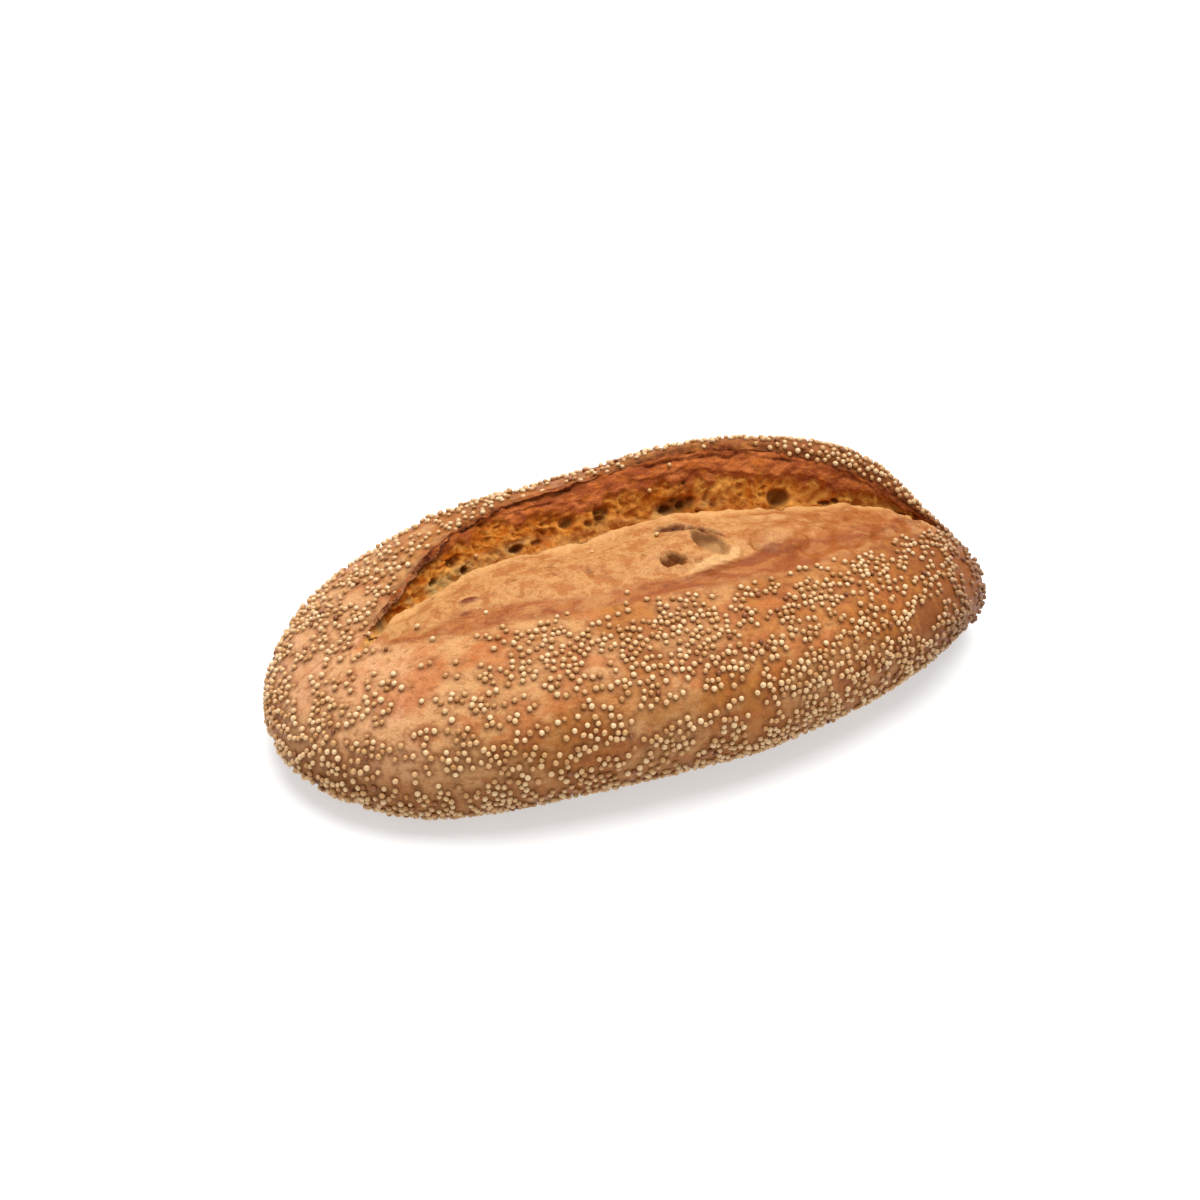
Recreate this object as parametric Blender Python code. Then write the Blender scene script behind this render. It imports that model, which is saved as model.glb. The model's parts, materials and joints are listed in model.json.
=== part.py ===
# Quinoa bread: one long loaf, scored lengthwise so that it opened into a raised ear over a
# smooth bloom, with quinoa seeds fused to its crust. Metres, +Z up, long side along X,
# resting on its flat base at z = 0. The side with the score's bloom faces -Y.

import math
import random

import bpy
import bmesh
import numpy as np
from mathutils import Matrix, Vector

LOAF_NAME = "loaf"

# Overall size
LENGTH = 0.250
WIDTH = 0.1354
CROWN_HEIGHT = 0.0560          # top of the loaf, without the ear
CROWN_TILT = 0.03              # share by which the crown grows towards the +X end
BELLY_HEIGHT = 0.0283          # height of the widest line at mid-length
END_BELLY_DROP = 0.0315        # how fast that line falls towards the ends
BELLY_LEVEL_SHARE = 0.3        # share of the half length over which it stays level
BASE_SINK = 0.0060             # how far the round underside would reach below its flat base

# Roundness: a power of 2 is an ellipse, and a higher one is blunter
PLAN_POWERS = (3.1, 1.5)       # the -X end and the +X end, seen from above
CROWN_POWERS = (2.0, 2.1)      # the same ends, seen from the side, above the belly
UNDER_POWERS = (5.2, 2.1)      # and below it
TOP_POWER = 2.50               # cross-section above the belly
UNDER_POWER = 2.36             # cross-section below it

# The score, given at places along the half length. Across, 0 is the middle of the loaf,
# -1 its near side and +1 its far side.
SCORE_ENDS = (-0.74, 0.88)
SCORE_PLACES = (-0.72, -0.50, -0.25, 0.0, 0.25, 0.50, 0.72, 0.87)
BLOOM_FOOT = (-0.26, -0.40, -0.46, -0.48, -0.51, -0.47, -0.33, -0.14)
BLOOM_EDGE = (-0.05, 0.09, 0.15, 0.17, 0.17, 0.13, 0.08, 0.05)
EAR_LIP = (0.0, 0.30, 0.44, 0.46, 0.45, 0.40, 0.21, 0.10)
EAR_HEIGHT = (0.0, 0.0058, 0.0084, 0.0102, 0.0160, 0.0163, 0.0119, 0.0026)
LIP_DROP = (-0.0008, -0.0012, -0.0016, -0.0009, 0.0008, 0.0039, 0.0070, 0.0070)
BLOOM_BULGE = 0.0018
BLOOM_EDGE_DROP = 0.0006
VALLEY_DEPTH = 0.0070
VALLEY_LEAN = 0.0020           # how far the valley reaches in under the ear
FAR_SHOULDER = 0.97

# Bubbles that broke open, as (place along, band, place in the band, radii)
OPEN_BUBBLES = (
    (0.115, "bloom_top", 0.30, (0.0034, 0.0028, 0.0030)),
    (-0.02, "ear_face", 0.28, (0.0042, 0.0026, 0.0024)),
    (0.36, "ear_face", 0.45, (0.0040, 0.0028, 0.0022)),
)

# Seeds
SEED_COUNT = 205
SEED_RADIUS = (0.00098, 0.00112)
SEED_FLATNESS = 0.80
SEED_RISE = 0.30               # share of the radius by which a seed's centre stands proud
SEED_FLOOR_GAP = 0.0016        # no seed's centre is lower than this
SEED_CHANCES = 14
OUTERMOST_SEEDS = (            # at both tips, both sides and the top of the ear
    (-0.9998, "near_flank", 0.5), (0.9998, "near_flank", 0.5), (-0.06, "near_flank", 0.0),
    (-0.06, "far_shoulder", 0.97), (0.30, "ear_top", 0.80),
)
RANDOM_SEED = 31

# Mesh density
STATION_COUNT = 63
BANDS = (
    ("near_flank", 4), ("bloom_low", 2), ("bloom_top", 2), ("valley", 2), ("ear_face", 4),
    ("ear_top", 2), ("ear_back", 6), ("far_shoulder", 2),
    ("far_under", 3), ("base", 4), ("near_under", 3),
)
BAND_NAMES = [name for name, _ in BANDS]
UPPER_BANDS = 8

CRUST_COLOR = (0.47, 0.20, 0.065, 1.0)
CRUST_ROUGHNESS = 0.55


# Curves along the loaf
def ease(t):
    return t * t * (3.0 - 2.0 * t)


def control_curve(u, places, values):
    """Smooth curve through values given at places along the half length."""
    places = np.asarray(places, float)
    values = np.asarray(values, float)
    slopes = np.gradient(values, places)
    u = np.clip(u, places[0], places[-1])
    left = np.clip(np.searchsorted(places, u) - 1, 0, len(places) - 2)
    step = places[left + 1] - places[left]
    t = (u - places[left]) / step
    rise = ease(t)
    pull = step * t * (1.0 - t)
    return (values[left] * (1.0 - rise) + values[left + 1] * rise
            + pull * ((1.0 - t) * slopes[left] - t * slopes[left + 1]))


def end_rounding(u, powers):
    """Share of the full size that is left at u, down to 0 at both ends."""
    power = np.where(u < 0.0, powers[0], powers[1])
    return np.sqrt(np.maximum(0.0, 1.0 - np.abs(u) ** power))


def score_opening(u):
    """1 along the score, falling to 0 at its two tips."""
    middle = 0.5 * (SCORE_ENDS[0] + SCORE_ENDS[1])
    half = 0.5 * (SCORE_ENDS[1] - SCORE_ENDS[0])
    return np.maximum(0.0, 1.0 - ((u - middle) / half) ** 4) ** 0.6


def belly_line(u):
    past = np.maximum(0.0, np.abs(u) - BELLY_LEVEL_SHARE)
    return BELLY_HEIGHT - END_BELLY_DROP * past ** 2


def ear_rise(u):
    places = (-1.0,) + SCORE_PLACES + (1.0,)
    return control_curve(u, places, (0.0,) + EAR_HEIGHT + (0.0,))


# Cross-sections
def angle_of(across):
    """Angle round the section for a place across it, from the near side over the top."""
    return np.arccos(np.clip(-np.sign(across) * np.abs(across) ** (TOP_POWER / 2.0), -1.0, 1.0))


def across_of(angle):
    return -np.sign(np.cos(angle)) * np.abs(np.cos(angle)) ** (2.0 / TOP_POWER)


def upper_limits(u):
    """Angles at which the bands of the upper section start and end."""
    opening = score_opening(u)
    foot = control_curve(u, SCORE_PLACES, BLOOM_FOOT)
    edge = control_curve(u, SCORE_PLACES, BLOOM_EDGE)
    lip = np.maximum(control_curve(u, SCORE_PLACES, EAR_LIP), edge + 0.05)
    drop = control_curve(u, SCORE_PLACES, LIP_DROP)
    ridge = lip + 0.04 + 18.0 * np.maximum(drop, 0.0) * opening
    stops = (foot, 0.5 * (foot + edge), edge, 0.7 * edge + 0.3 * lip, lip, ridge)
    angles = [angle_of(stop) for stop in stops]
    shoulder = np.maximum(angle_of(np.full_like(u, FAR_SHOULDER)), angles[-1] + 0.05)
    return [np.zeros_like(u)] + angles + [shoulder, np.full_like(u, math.pi)]


def lower_limits(u):
    """Angles at which the far underside, the base and the near underside meet."""
    belly = belly_line(u)
    reach = (belly + BASE_SINK) * end_rounding(u, UNDER_POWERS)
    share = np.clip(belly / np.maximum(reach, 1e-6), 0.0, 1.0)
    turn = np.minimum(np.arcsin(share ** (UNDER_POWER / 2.0)), 0.5 * math.pi - 0.3)
    return [np.full_like(u, math.pi), math.pi + turn, 2.0 * math.pi - turn,
            np.full_like(u, 2.0 * math.pi)]


def score_relief(u, band, t):
    """Sideways shift and rise that the score adds in one band of the upper section."""
    opening = score_opening(u)
    ridge = ear_rise(u)
    lip = ridge - control_curve(u, SCORE_PLACES, LIP_DROP) * opening
    bulge = BLOOM_BULGE * opening
    edge = -BLOOM_EDGE_DROP * opening
    valley = -VALLEY_DEPTH * opening
    lean = VALLEY_LEAN * opening
    zero = np.zeros_like(u)
    steep = np.sin(0.5 * math.pi * t)
    face = 1.0 - (1.0 - t) ** 1.3 * (1.0 - 0.15 * np.sin(math.pi * t))
    rises = {
        "near_flank": (zero, zero, t), "bloom_low": (zero, bulge, ease(t)),
        "bloom_top": (bulge, edge, ease(t)), "valley": (edge, valley, steep),
        "ear_face": (valley, lip, face), "ear_top": (lip, ridge, steep),
        "ear_back": (ridge, zero, t ** 1.4), "far_shoulder": (zero, zero, t),
    }
    shifts = {
        "valley": (zero, lean, ease(t)), "ear_face": (lean, -0.25 * lean, t ** 1.5),
        "ear_top": (-0.25 * lean, zero, ease(t)),
    }
    start, end, share = rises[band]
    rise = start + (end - start) * share
    start, end, share = shifts.get(band, (zero, zero, t))
    return start + (end - start) * share, rise


def surface_point(u, band, t):
    """Point of the loaf's surface, with u along it and t through one band of the section."""
    u, t = np.broadcast_arrays(np.asarray(u, float), np.asarray(t, float))
    half_width = 0.5 * WIDTH * end_rounding(u, PLAN_POWERS)
    belly = belly_line(u)
    index = BAND_NAMES.index(band)
    if index < UPPER_BANDS:
        limits = upper_limits(u)
        angle = limits[index] + (limits[index + 1] - limits[index]) * t
        crown = (CROWN_HEIGHT - belly) * end_rounding(u, CROWN_POWERS) * (1.0 + CROWN_TILT * u)
        shift, rise = score_relief(u, band, t)
        height = belly + crown * np.abs(np.sin(angle)) ** (2.0 / TOP_POWER) + rise
    else:
        limits = lower_limits(u)
        index -= UPPER_BANDS
        angle = limits[index] + (limits[index + 1] - limits[index]) * t
        depth = (belly + BASE_SINK) * end_rounding(u, UNDER_POWERS)
        shift = 0.0
        height = np.maximum(0.0, belly - depth * np.abs(np.sin(angle)) ** (2.0 / UNDER_POWER))
    return np.stack([0.5 * LENGTH * u, half_width * across_of(angle) + shift, height], axis=-1)


# The loaf's body
def stations():
    """Places of the cross-sections, closer together towards the two ends."""
    turn = np.linspace(-0.5 * math.pi, 0.5 * math.pi, STATION_COUNT + 2)[1:-1]
    return np.sin(turn)


def loft_rings():
    """One closed ring of points per station."""
    columns = []
    u = stations()
    for band, steps in BANDS:
        for step in range(steps):
            columns.append(surface_point(u, band, np.full_like(u, step / steps)))
    return np.stack(columns, axis=1)


def build_body():
    """Lofts the rings into one closed mesh with a point at each end."""
    rings = loft_rings()
    mesh = bpy.data.meshes.new(LOAF_NAME)
    bm = bmesh.new()
    grid = [[bm.verts.new(point) for point in ring] for ring in rings]
    count = len(grid[0])
    for ring, following in zip(grid, grid[1:]):
        for i in range(count):
            k = (i + 1) % count
            bm.faces.new((ring[i], ring[k], following[k], following[i]))
    for ring, side in ((grid[0], -1.0), (grid[-1], 1.0)):
        tip = bm.verts.new((side * 0.5 * LENGTH, 0.0, float(belly_line(np.array(side)))))
        for i in range(count):
            bm.faces.new((ring[i], ring[(i + 1) % count], tip))
    bmesh.ops.recalc_face_normals(bm, faces=bm.faces)
    bm.to_mesh(mesh)
    bm.free()
    return mesh


# Seeds and bubbles
def outward_normal(u, band, t):
    """Unit normal of the surface, from two short steps along it."""
    step = 0.004
    u_low, u_high = np.clip((u - step, u + step), -1.0, 1.0)
    t_low, t_high = np.clip((t - step, t + step), 0.0, 1.0)
    along = surface_point(u_high, band, t) - surface_point(u_low, band, t)
    round_it = surface_point(u, band, t_high) - surface_point(u, band, t_low)
    normal = np.cross(along, round_it)
    return normal / np.maximum(np.linalg.norm(normal, axis=-1, keepdims=True), 1e-12)


def seed_share(u, band, t):
    """How thickly seeds lie at a place: none in the score, fewer beside it, most low down."""
    if band in ("bloom_low", "bloom_top", "valley", "ear_face", "base"):
        inside = SCORE_ENDS[0] - 0.03 < u < SCORE_ENDS[1] + 0.02 or band == "base"
        return 0.0 if inside else 0.8
    if band == "near_flank":
        skin = math.exp(-((u + 0.60) / 0.16) ** 2) if t > 0.45 else 0.0
        return (1.0 - 0.35 * t) * (1.0 - 0.9 * skin)
    return {"ear_top": 0.35, "ear_back": 0.7, "far_shoulder": 0.9}.get(band, 1.0)


def seed_places(draw):
    """Candidate places over the crust, each cell as likely as its area times its share."""
    cells = []
    weights = []
    rows = np.linspace(-0.985, 0.985, 150)
    for band, _ in BANDS:
        for t in np.linspace(0.08, 0.92, 9):
            points = surface_point(rows, band, np.full_like(rows, t))
            strip = surface_point(rows, band, np.full_like(rows, t + 0.05)) - points
            run = np.linalg.norm(np.gradient(points, axis=0), axis=1)
            area = run * np.linalg.norm(strip, axis=1)
            for u, point, size in zip(rows, points, area):
                if point[2] > SEED_FLOOR_GAP:
                    cells.append((float(u), band, float(t)))
                    weights.append(size * seed_share(u, band, t))
    picks = draw.choices(cells, weights, k=SEED_COUNT * SEED_CHANCES)
    return [(u + draw.uniform(-0.006, 0.006), band, t + draw.uniform(-0.04, 0.04))
            for u, band, t in picks]


def spread_places(draw):
    """Takes from each handful of candidates the one farthest from the seeds laid so far."""
    candidates = list(OUTERMOST_SEEDS) + seed_places(draw)
    points = np.array([surface_point(*place) for place in candidates])
    chosen = list(range(len(OUTERMOST_SEEDS)))
    gaps = [np.linalg.norm(points - points[i], axis=1) for i in chosen]
    nearest = np.min(gaps, axis=0)
    for start in range(len(chosen), len(points), SEED_CHANCES):
        best = start + int(np.argmax(nearest[start:start + SEED_CHANCES]))
        chosen.append(best)
        nearest = np.minimum(nearest, np.linalg.norm(points - points[best], axis=1))
    return [candidates[i] for i in chosen]


def add_seeds(collection):
    """Lays the seeds as separate small solids, partly sunk in the crust, largest first."""
    draw = random.Random(RANDOM_SEED)
    mesh = bpy.data.meshes.new("quinoa_seed")
    bm = bmesh.new()
    bmesh.ops.create_icosphere(bm, subdivisions=1, radius=1.0)
    bm.to_mesh(mesh)
    bm.free()
    places = spread_places(draw)
    radii = sorted((draw.uniform(*SEED_RADIUS) for _ in places), reverse=True)
    for place, radius in zip(places, radii):
        point = surface_point(*place)
        normal = outward_normal(*place)
        centre = point + normal * radius * SEED_RISE
        if centre[2] < SEED_FLOOR_GAP:
            continue
        turn = Vector(normal).to_track_quat("Z", "Y").to_matrix().to_4x4()
        spin = Matrix.Rotation(draw.uniform(0.0, math.tau), 4, "Z")
        size = Matrix.Diagonal((radius, radius, radius * SEED_FLATNESS, 1.0))
        seed = bpy.data.objects.new("quinoa_seed", mesh)
        seed.matrix_world = Matrix.Translation(Vector(centre)) @ turn @ spin @ size
        collection.objects.link(seed)


def add_bubble_cutters(collection):
    """Ellipsoids that cut the open bubbles of the crumb."""
    for number, (u, band, t, radii) in enumerate(OPEN_BUBBLES, start=1):
        mesh = bpy.data.meshes.new("bubble_%d" % number)
        bm = bmesh.new()
        bmesh.ops.create_uvsphere(bm, u_segments=10, v_segments=6, radius=1.0)
        bm.to_mesh(mesh)
        bm.free()
        cutter = bpy.data.objects.new("bubble_%d" % number, mesh)
        point = surface_point(u, band, t)
        normal = outward_normal(u, band, t)
        turn = Vector(normal).to_track_quat("Z", "X").to_matrix().to_4x4()
        size = Matrix.Diagonal((*radii, 1.0))
        cutter.matrix_world = Matrix.Translation(Vector(point)) @ turn @ size
        cutter.display_type = "WIRE"
        cutter.hide_render = True
        collection.objects.link(cutter)


def keep_largest_shell(mesh):
    """Fills hollows that fusing sealed and drops loose scraps: only the loaf's skin stays."""
    bm = bmesh.new()
    bm.from_mesh(mesh)
    waiting = set(bm.verts)
    shells = []
    while waiting:
        reached = {waiting.pop()}
        shell = set(reached)
        while reached:
            linked = {edge.other_vert(vert) for vert in reached for edge in vert.link_edges}
            reached = linked - shell
            shell |= reached
        waiting -= shell
        shells.append(shell)
    shells.sort(key=len)
    for shell in shells[:-1]:
        bmesh.ops.delete(bm, geom=list(shell), context="VERTS")
    bm.to_mesh(mesh)
    bm.free()


def fuse_seeds(loaf, seeds):
    """Joins the seeds to the loaf in one Boolean union, then removes their objects."""
    union = loaf.modifiers.new("seeds", "BOOLEAN")
    union.operation = "UNION"
    union.operand_type = "COLLECTION"
    union.collection = seeds
    union.solver = "EXACT"
    bpy.context.view_layer.update()
    evaluated = loaf.evaluated_get(bpy.context.evaluated_depsgraph_get())
    fused = bpy.data.meshes.new_from_object(evaluated)
    loaf.modifiers.remove(union)
    keep_largest_shell(fused)
    loaf.data = fused
    for seed in list(seeds.objects):
        bpy.data.objects.remove(seed, do_unlink=True)
    bpy.data.collections.remove(seeds)


def cut_bubbles(loaf, cutters):
    cut = loaf.modifiers.new("bubbles", "BOOLEAN")
    cut.operation = "DIFFERENCE"
    cut.operand_type = "COLLECTION"
    cut.collection = cutters
    cut.solver = "EXACT"


# The finished object
def crust_material():
    material = bpy.data.materials.new("crust")
    material.use_nodes = True
    shader = material.node_tree.nodes["Principled BSDF"]
    shader.inputs["Base Color"].default_value = CRUST_COLOR
    shader.inputs["Roughness"].default_value = CRUST_ROUGHNESS
    shader.inputs["Metallic"].default_value = 0.0
    return material


def clear_scene():
    for existing in list(bpy.data.objects):
        bpy.data.objects.remove(existing, do_unlink=True)


def new_collection(name):
    collection = bpy.data.collections.new(name)
    bpy.context.scene.collection.children.link(collection)
    return collection


def main():
    clear_scene()
    parts = new_collection("quinoa_bread")
    cutters = new_collection("cutters")
    seeds = new_collection("seeds")
    loaf = bpy.data.objects.new(LOAF_NAME, build_body())
    parts.objects.link(loaf)
    add_seeds(seeds)
    fuse_seeds(loaf, seeds)
    add_bubble_cutters(cutters)
    cut_bubbles(loaf, cutters)
    loaf.data.materials.clear()
    loaf.data.materials.append(crust_material())
    loaf.data.shade_smooth()


main()
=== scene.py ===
"""Quinoa bread: a long hearth loaf whose lengthwise score opened into an ear over a smooth
bloom, with quinoa seeds baked onto its crust. Metres, +Z up, in the CAD model's frame."""
import json
import logging
import math
from dataclasses import dataclass
from enum import Enum

import bpy
import numpy as np
from mathutils import Matrix, Vector, kdtree

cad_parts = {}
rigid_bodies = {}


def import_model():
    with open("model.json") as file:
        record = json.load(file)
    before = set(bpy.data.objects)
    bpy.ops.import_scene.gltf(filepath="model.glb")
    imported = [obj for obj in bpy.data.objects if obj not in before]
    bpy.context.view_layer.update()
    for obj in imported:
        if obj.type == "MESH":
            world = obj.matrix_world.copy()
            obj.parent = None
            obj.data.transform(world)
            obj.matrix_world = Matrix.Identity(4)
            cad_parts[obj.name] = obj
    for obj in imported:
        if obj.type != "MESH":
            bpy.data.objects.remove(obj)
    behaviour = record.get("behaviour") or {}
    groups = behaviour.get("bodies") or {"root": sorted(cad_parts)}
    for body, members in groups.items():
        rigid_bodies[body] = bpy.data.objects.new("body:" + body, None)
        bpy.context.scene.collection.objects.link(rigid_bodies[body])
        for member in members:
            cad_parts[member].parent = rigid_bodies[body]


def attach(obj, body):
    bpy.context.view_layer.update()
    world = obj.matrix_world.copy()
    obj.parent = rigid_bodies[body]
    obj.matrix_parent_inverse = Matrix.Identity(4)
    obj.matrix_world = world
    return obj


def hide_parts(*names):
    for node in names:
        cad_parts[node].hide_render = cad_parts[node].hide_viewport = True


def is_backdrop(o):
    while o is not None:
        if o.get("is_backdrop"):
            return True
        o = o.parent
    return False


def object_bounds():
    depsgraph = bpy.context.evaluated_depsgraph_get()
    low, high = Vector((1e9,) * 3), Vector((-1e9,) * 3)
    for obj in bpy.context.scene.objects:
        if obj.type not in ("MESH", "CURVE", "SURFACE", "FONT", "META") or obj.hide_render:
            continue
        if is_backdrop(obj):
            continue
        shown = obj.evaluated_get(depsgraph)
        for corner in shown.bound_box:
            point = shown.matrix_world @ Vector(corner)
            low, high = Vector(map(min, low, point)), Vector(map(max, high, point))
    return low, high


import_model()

LOG = logging.getLogger("quinoa_bread")
MM = 0.001
HALF_LENGTH = 125.0
WHITE = (1.0, 1.0, 1.0, 1.0)
Array = np.ndarray


def ease(t: Array) -> Array:
    """Smooth step of a share, held at 0 and 1 outside it."""
    t = np.clip(t, 0.0, 1.0)
    return t * t * (3.0 - 2.0 * t)


def ramp(value: Array, start: float, width: float) -> Array:
    """Smooth step from 0 at the start to 1 a width beyond it, or before it if negative."""
    return ease((value - start) / width)


def hump(distance: Array, width: float) -> Array:
    """Bell of height 1 over a distance of 0, falling off over the width."""
    return np.exp(-(distance / width) ** 2)


def control_curve(u: Array, places: tuple[float, ...], values: tuple[float, ...]) -> Array:
    """Smooth curve along the loaf.

    Args:
        u: Places at which the curve is read, as shares of the half length.
        places: Places at which its values are given.
        values: The values there.

    Returns:
        The curve's values, held at its end values outside the given places.
    """
    x = np.asarray(places, float)
    y = np.asarray(values, float)
    slopes = np.gradient(y, x)
    u = np.clip(u, x[0], x[-1])
    left = np.clip(np.searchsorted(x, u) - 1, 0, len(x) - 2)
    step = x[left + 1] - x[left]
    t = (u - x[left]) / step
    pull = step * t * (1.0 - t)
    return (y[left] * (1.0 - ease(t)) + y[left + 1] * ease(t)
            + pull * ((1.0 - t) * slopes[left] - t * slopes[left + 1]))


def put_in_scene(name: str, data: bpy.types.ID) -> bpy.types.Object:
    """Makes an object of a mesh, light or camera, and links it to the scene.

    Args:
        name: The object's name.
        data: What the object holds.

    Returns:
        The object.
    """
    made = bpy.data.objects.new(name, data)
    bpy.context.scene.collection.objects.link(made)
    return made


def give_masks(mesh: bpy.types.Mesh, masks: dict[str, Array]) -> None:
    """Stores masks on a mesh, with one number per point under each name.

    Args:
        mesh: The mesh.
        masks: The numbers of each mask, in the order of the mesh's points.
    """
    for name, values in masks.items():
        layer = mesh.attributes.new(name, "FLOAT", "POINT")
        layer.data.foreach_set("value", values.astype(np.float32))


class Noise:
    """Repeatable noise over points in space, one unit to a lattice cell."""

    def __init__(self, seed: int) -> None:
        """Keeps the seed that tells one field from another."""
        self.seed = seed

    def lattice(self, cell: Array, channel: int = 0) -> Array:
        """One value from 0 to 1 for each whole-numbered cell.

        Args:
            cell: Cell numbers, with three in the last axis.
            channel: Which of a cell's values to read.

        Returns:
            The values, one per cell.
        """
        c = cell.astype(np.int64)
        key = (c[..., 0] * 73856093) ^ (c[..., 1] * 19349663) ^ (c[..., 2] * 83492791)
        key = (key + self.seed * 1013 + channel * 7919) & 0xFFFFFFFF
        key = ((key ^ (key >> 15)) * 0x2C1B3C6D) & 0xFFFFFFFF
        key = ((key ^ (key >> 12)) * 0x297A2D39) & 0xFFFFFFFF
        return (key ^ (key >> 15)) / 0xFFFFFFFF

    def smooth(self, points: Array) -> Array:
        """Noise from -1 to 1 that varies smoothly over about one unit.

        Args:
            points: Points with three coordinates in the last axis.

        Returns:
            One value per point.
        """
        base = np.floor(points)
        weight = ease(points - base)
        total = np.zeros(points.shape[:-1])
        for corner in np.ndindex(2, 2, 2):
            share = np.prod(np.where(np.array(corner) == 1, weight, 1.0 - weight), axis=-1)
            total += share * self.lattice(base + np.array(corner))
        return 2.0 * total - 1.0

    def fractal(self, points: Array, octaves: int = 4, gain: float = 0.5) -> Array:
        """Sum of ever finer smooth noise, scaled back to about -1 to 1.

        Args:
            points: Points with three coordinates in the last axis.
            octaves: How many times the detail is halved in size.
            gain: Strength of each octave against the one before.

        Returns:
            One value per point.
        """
        total = np.zeros(points.shape[:-1])
        strength, whole = 1.0, 0.0
        for octave in range(octaves):
            total += strength * self.smooth(points * 2.03 ** octave + 17.3 * octave)
            whole += strength
            strength *= gain
        return total / whole * 1.4

    def cells(self, points: Array) -> tuple[Array, Array, Array]:
        """Distances to the nearest and second nearest of points scattered one to a cell.

        Args:
            points: Points with three coordinates in the last axis.

        Returns:
            The nearest distance, the second nearest, and a value from 0 to 1 for the cell.
        """
        base = np.floor(points)
        first = np.full(points.shape[:-1], 9.0)
        second = np.full(points.shape[:-1], 9.0)
        name = np.zeros(points.shape[:-1])
        for step in np.ndindex(3, 3, 3):
            cell = base + np.array(step) - 1
            centre = cell + np.stack([self.lattice(cell, k) for k in (1, 2, 3)], axis=-1)
            gap = np.linalg.norm(points - centre, axis=-1)
            nearer = gap < first
            second = np.where(nearer, first, np.minimum(second, gap))
            name = np.where(nearer, self.lattice(cell, 4), name)
            first = np.where(nearer, gap, first)
        return first, second, name


class Band(Enum):
    """Stretches of a cross-section, in order from the near side over the top and back."""

    NEAR_FLANK = 0
    BLOOM_LOW = 1
    BLOOM_TOP = 2
    VALLEY = 3
    EAR_FACE = 4
    EAR_TOP = 5
    EAR_BACK = 6
    FAR_SHOULDER = 7
    FAR_UNDER = 8
    BASE = 9
    NEAR_UNDER = 10


@dataclass(frozen=True)
class LoafSizes:
    """Sizes of the loaf's form, in metres, as the CAD model has them."""

    length: float = 0.250
    width: float = 0.1354
    crown_height: float = 0.0560
    crown_tilt: float = 0.03
    belly_height: float = 0.0283
    end_belly_drop: float = 0.0315
    belly_level_share: float = 0.3
    base_sink: float = 0.0060
    plan_powers: tuple[float, float] = (3.1, 1.5)
    crown_powers: tuple[float, float] = (2.0, 2.1)
    under_powers: tuple[float, float] = (5.2, 2.1)
    top_power: float = 2.50
    under_power: float = 2.36
    far_shoulder: float = 0.97


@dataclass(frozen=True)
class ScoreSizes:
    """The score's lines, across the loaf and upwards, at places along the half length."""

    ends: tuple[float, float] = (-0.74, 0.88)
    places: tuple[float, ...] = (-0.72, -0.50, -0.25, 0.0, 0.25, 0.50, 0.72, 0.87)
    bloom_foot: tuple[float, ...] = (-0.26, -0.40, -0.46, -0.48, -0.51, -0.47, -0.33, -0.14)
    bloom_edge: tuple[float, ...] = (-0.05, 0.09, 0.15, 0.17, 0.17, 0.13, 0.08, 0.05)
    ear_lip: tuple[float, ...] = (0.0, 0.30, 0.44, 0.46, 0.45, 0.40, 0.21, 0.10)
    ear_height: tuple[float, ...] = (0.0, 0.0058, 0.0084, 0.0102, 0.0160, 0.0163, 0.0119, 0.0026)
    lip_drop: tuple[float, ...] = (-0.0008, -0.0012, -0.0016, -0.0009, 0.0008, 0.0039, 0.0070,
                                   0.0070)
    bulge: float = 0.0018
    edge_drop: float = 0.0006
    valley_depth: float = 0.0070
    valley_lean: float = 0.0020


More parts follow.
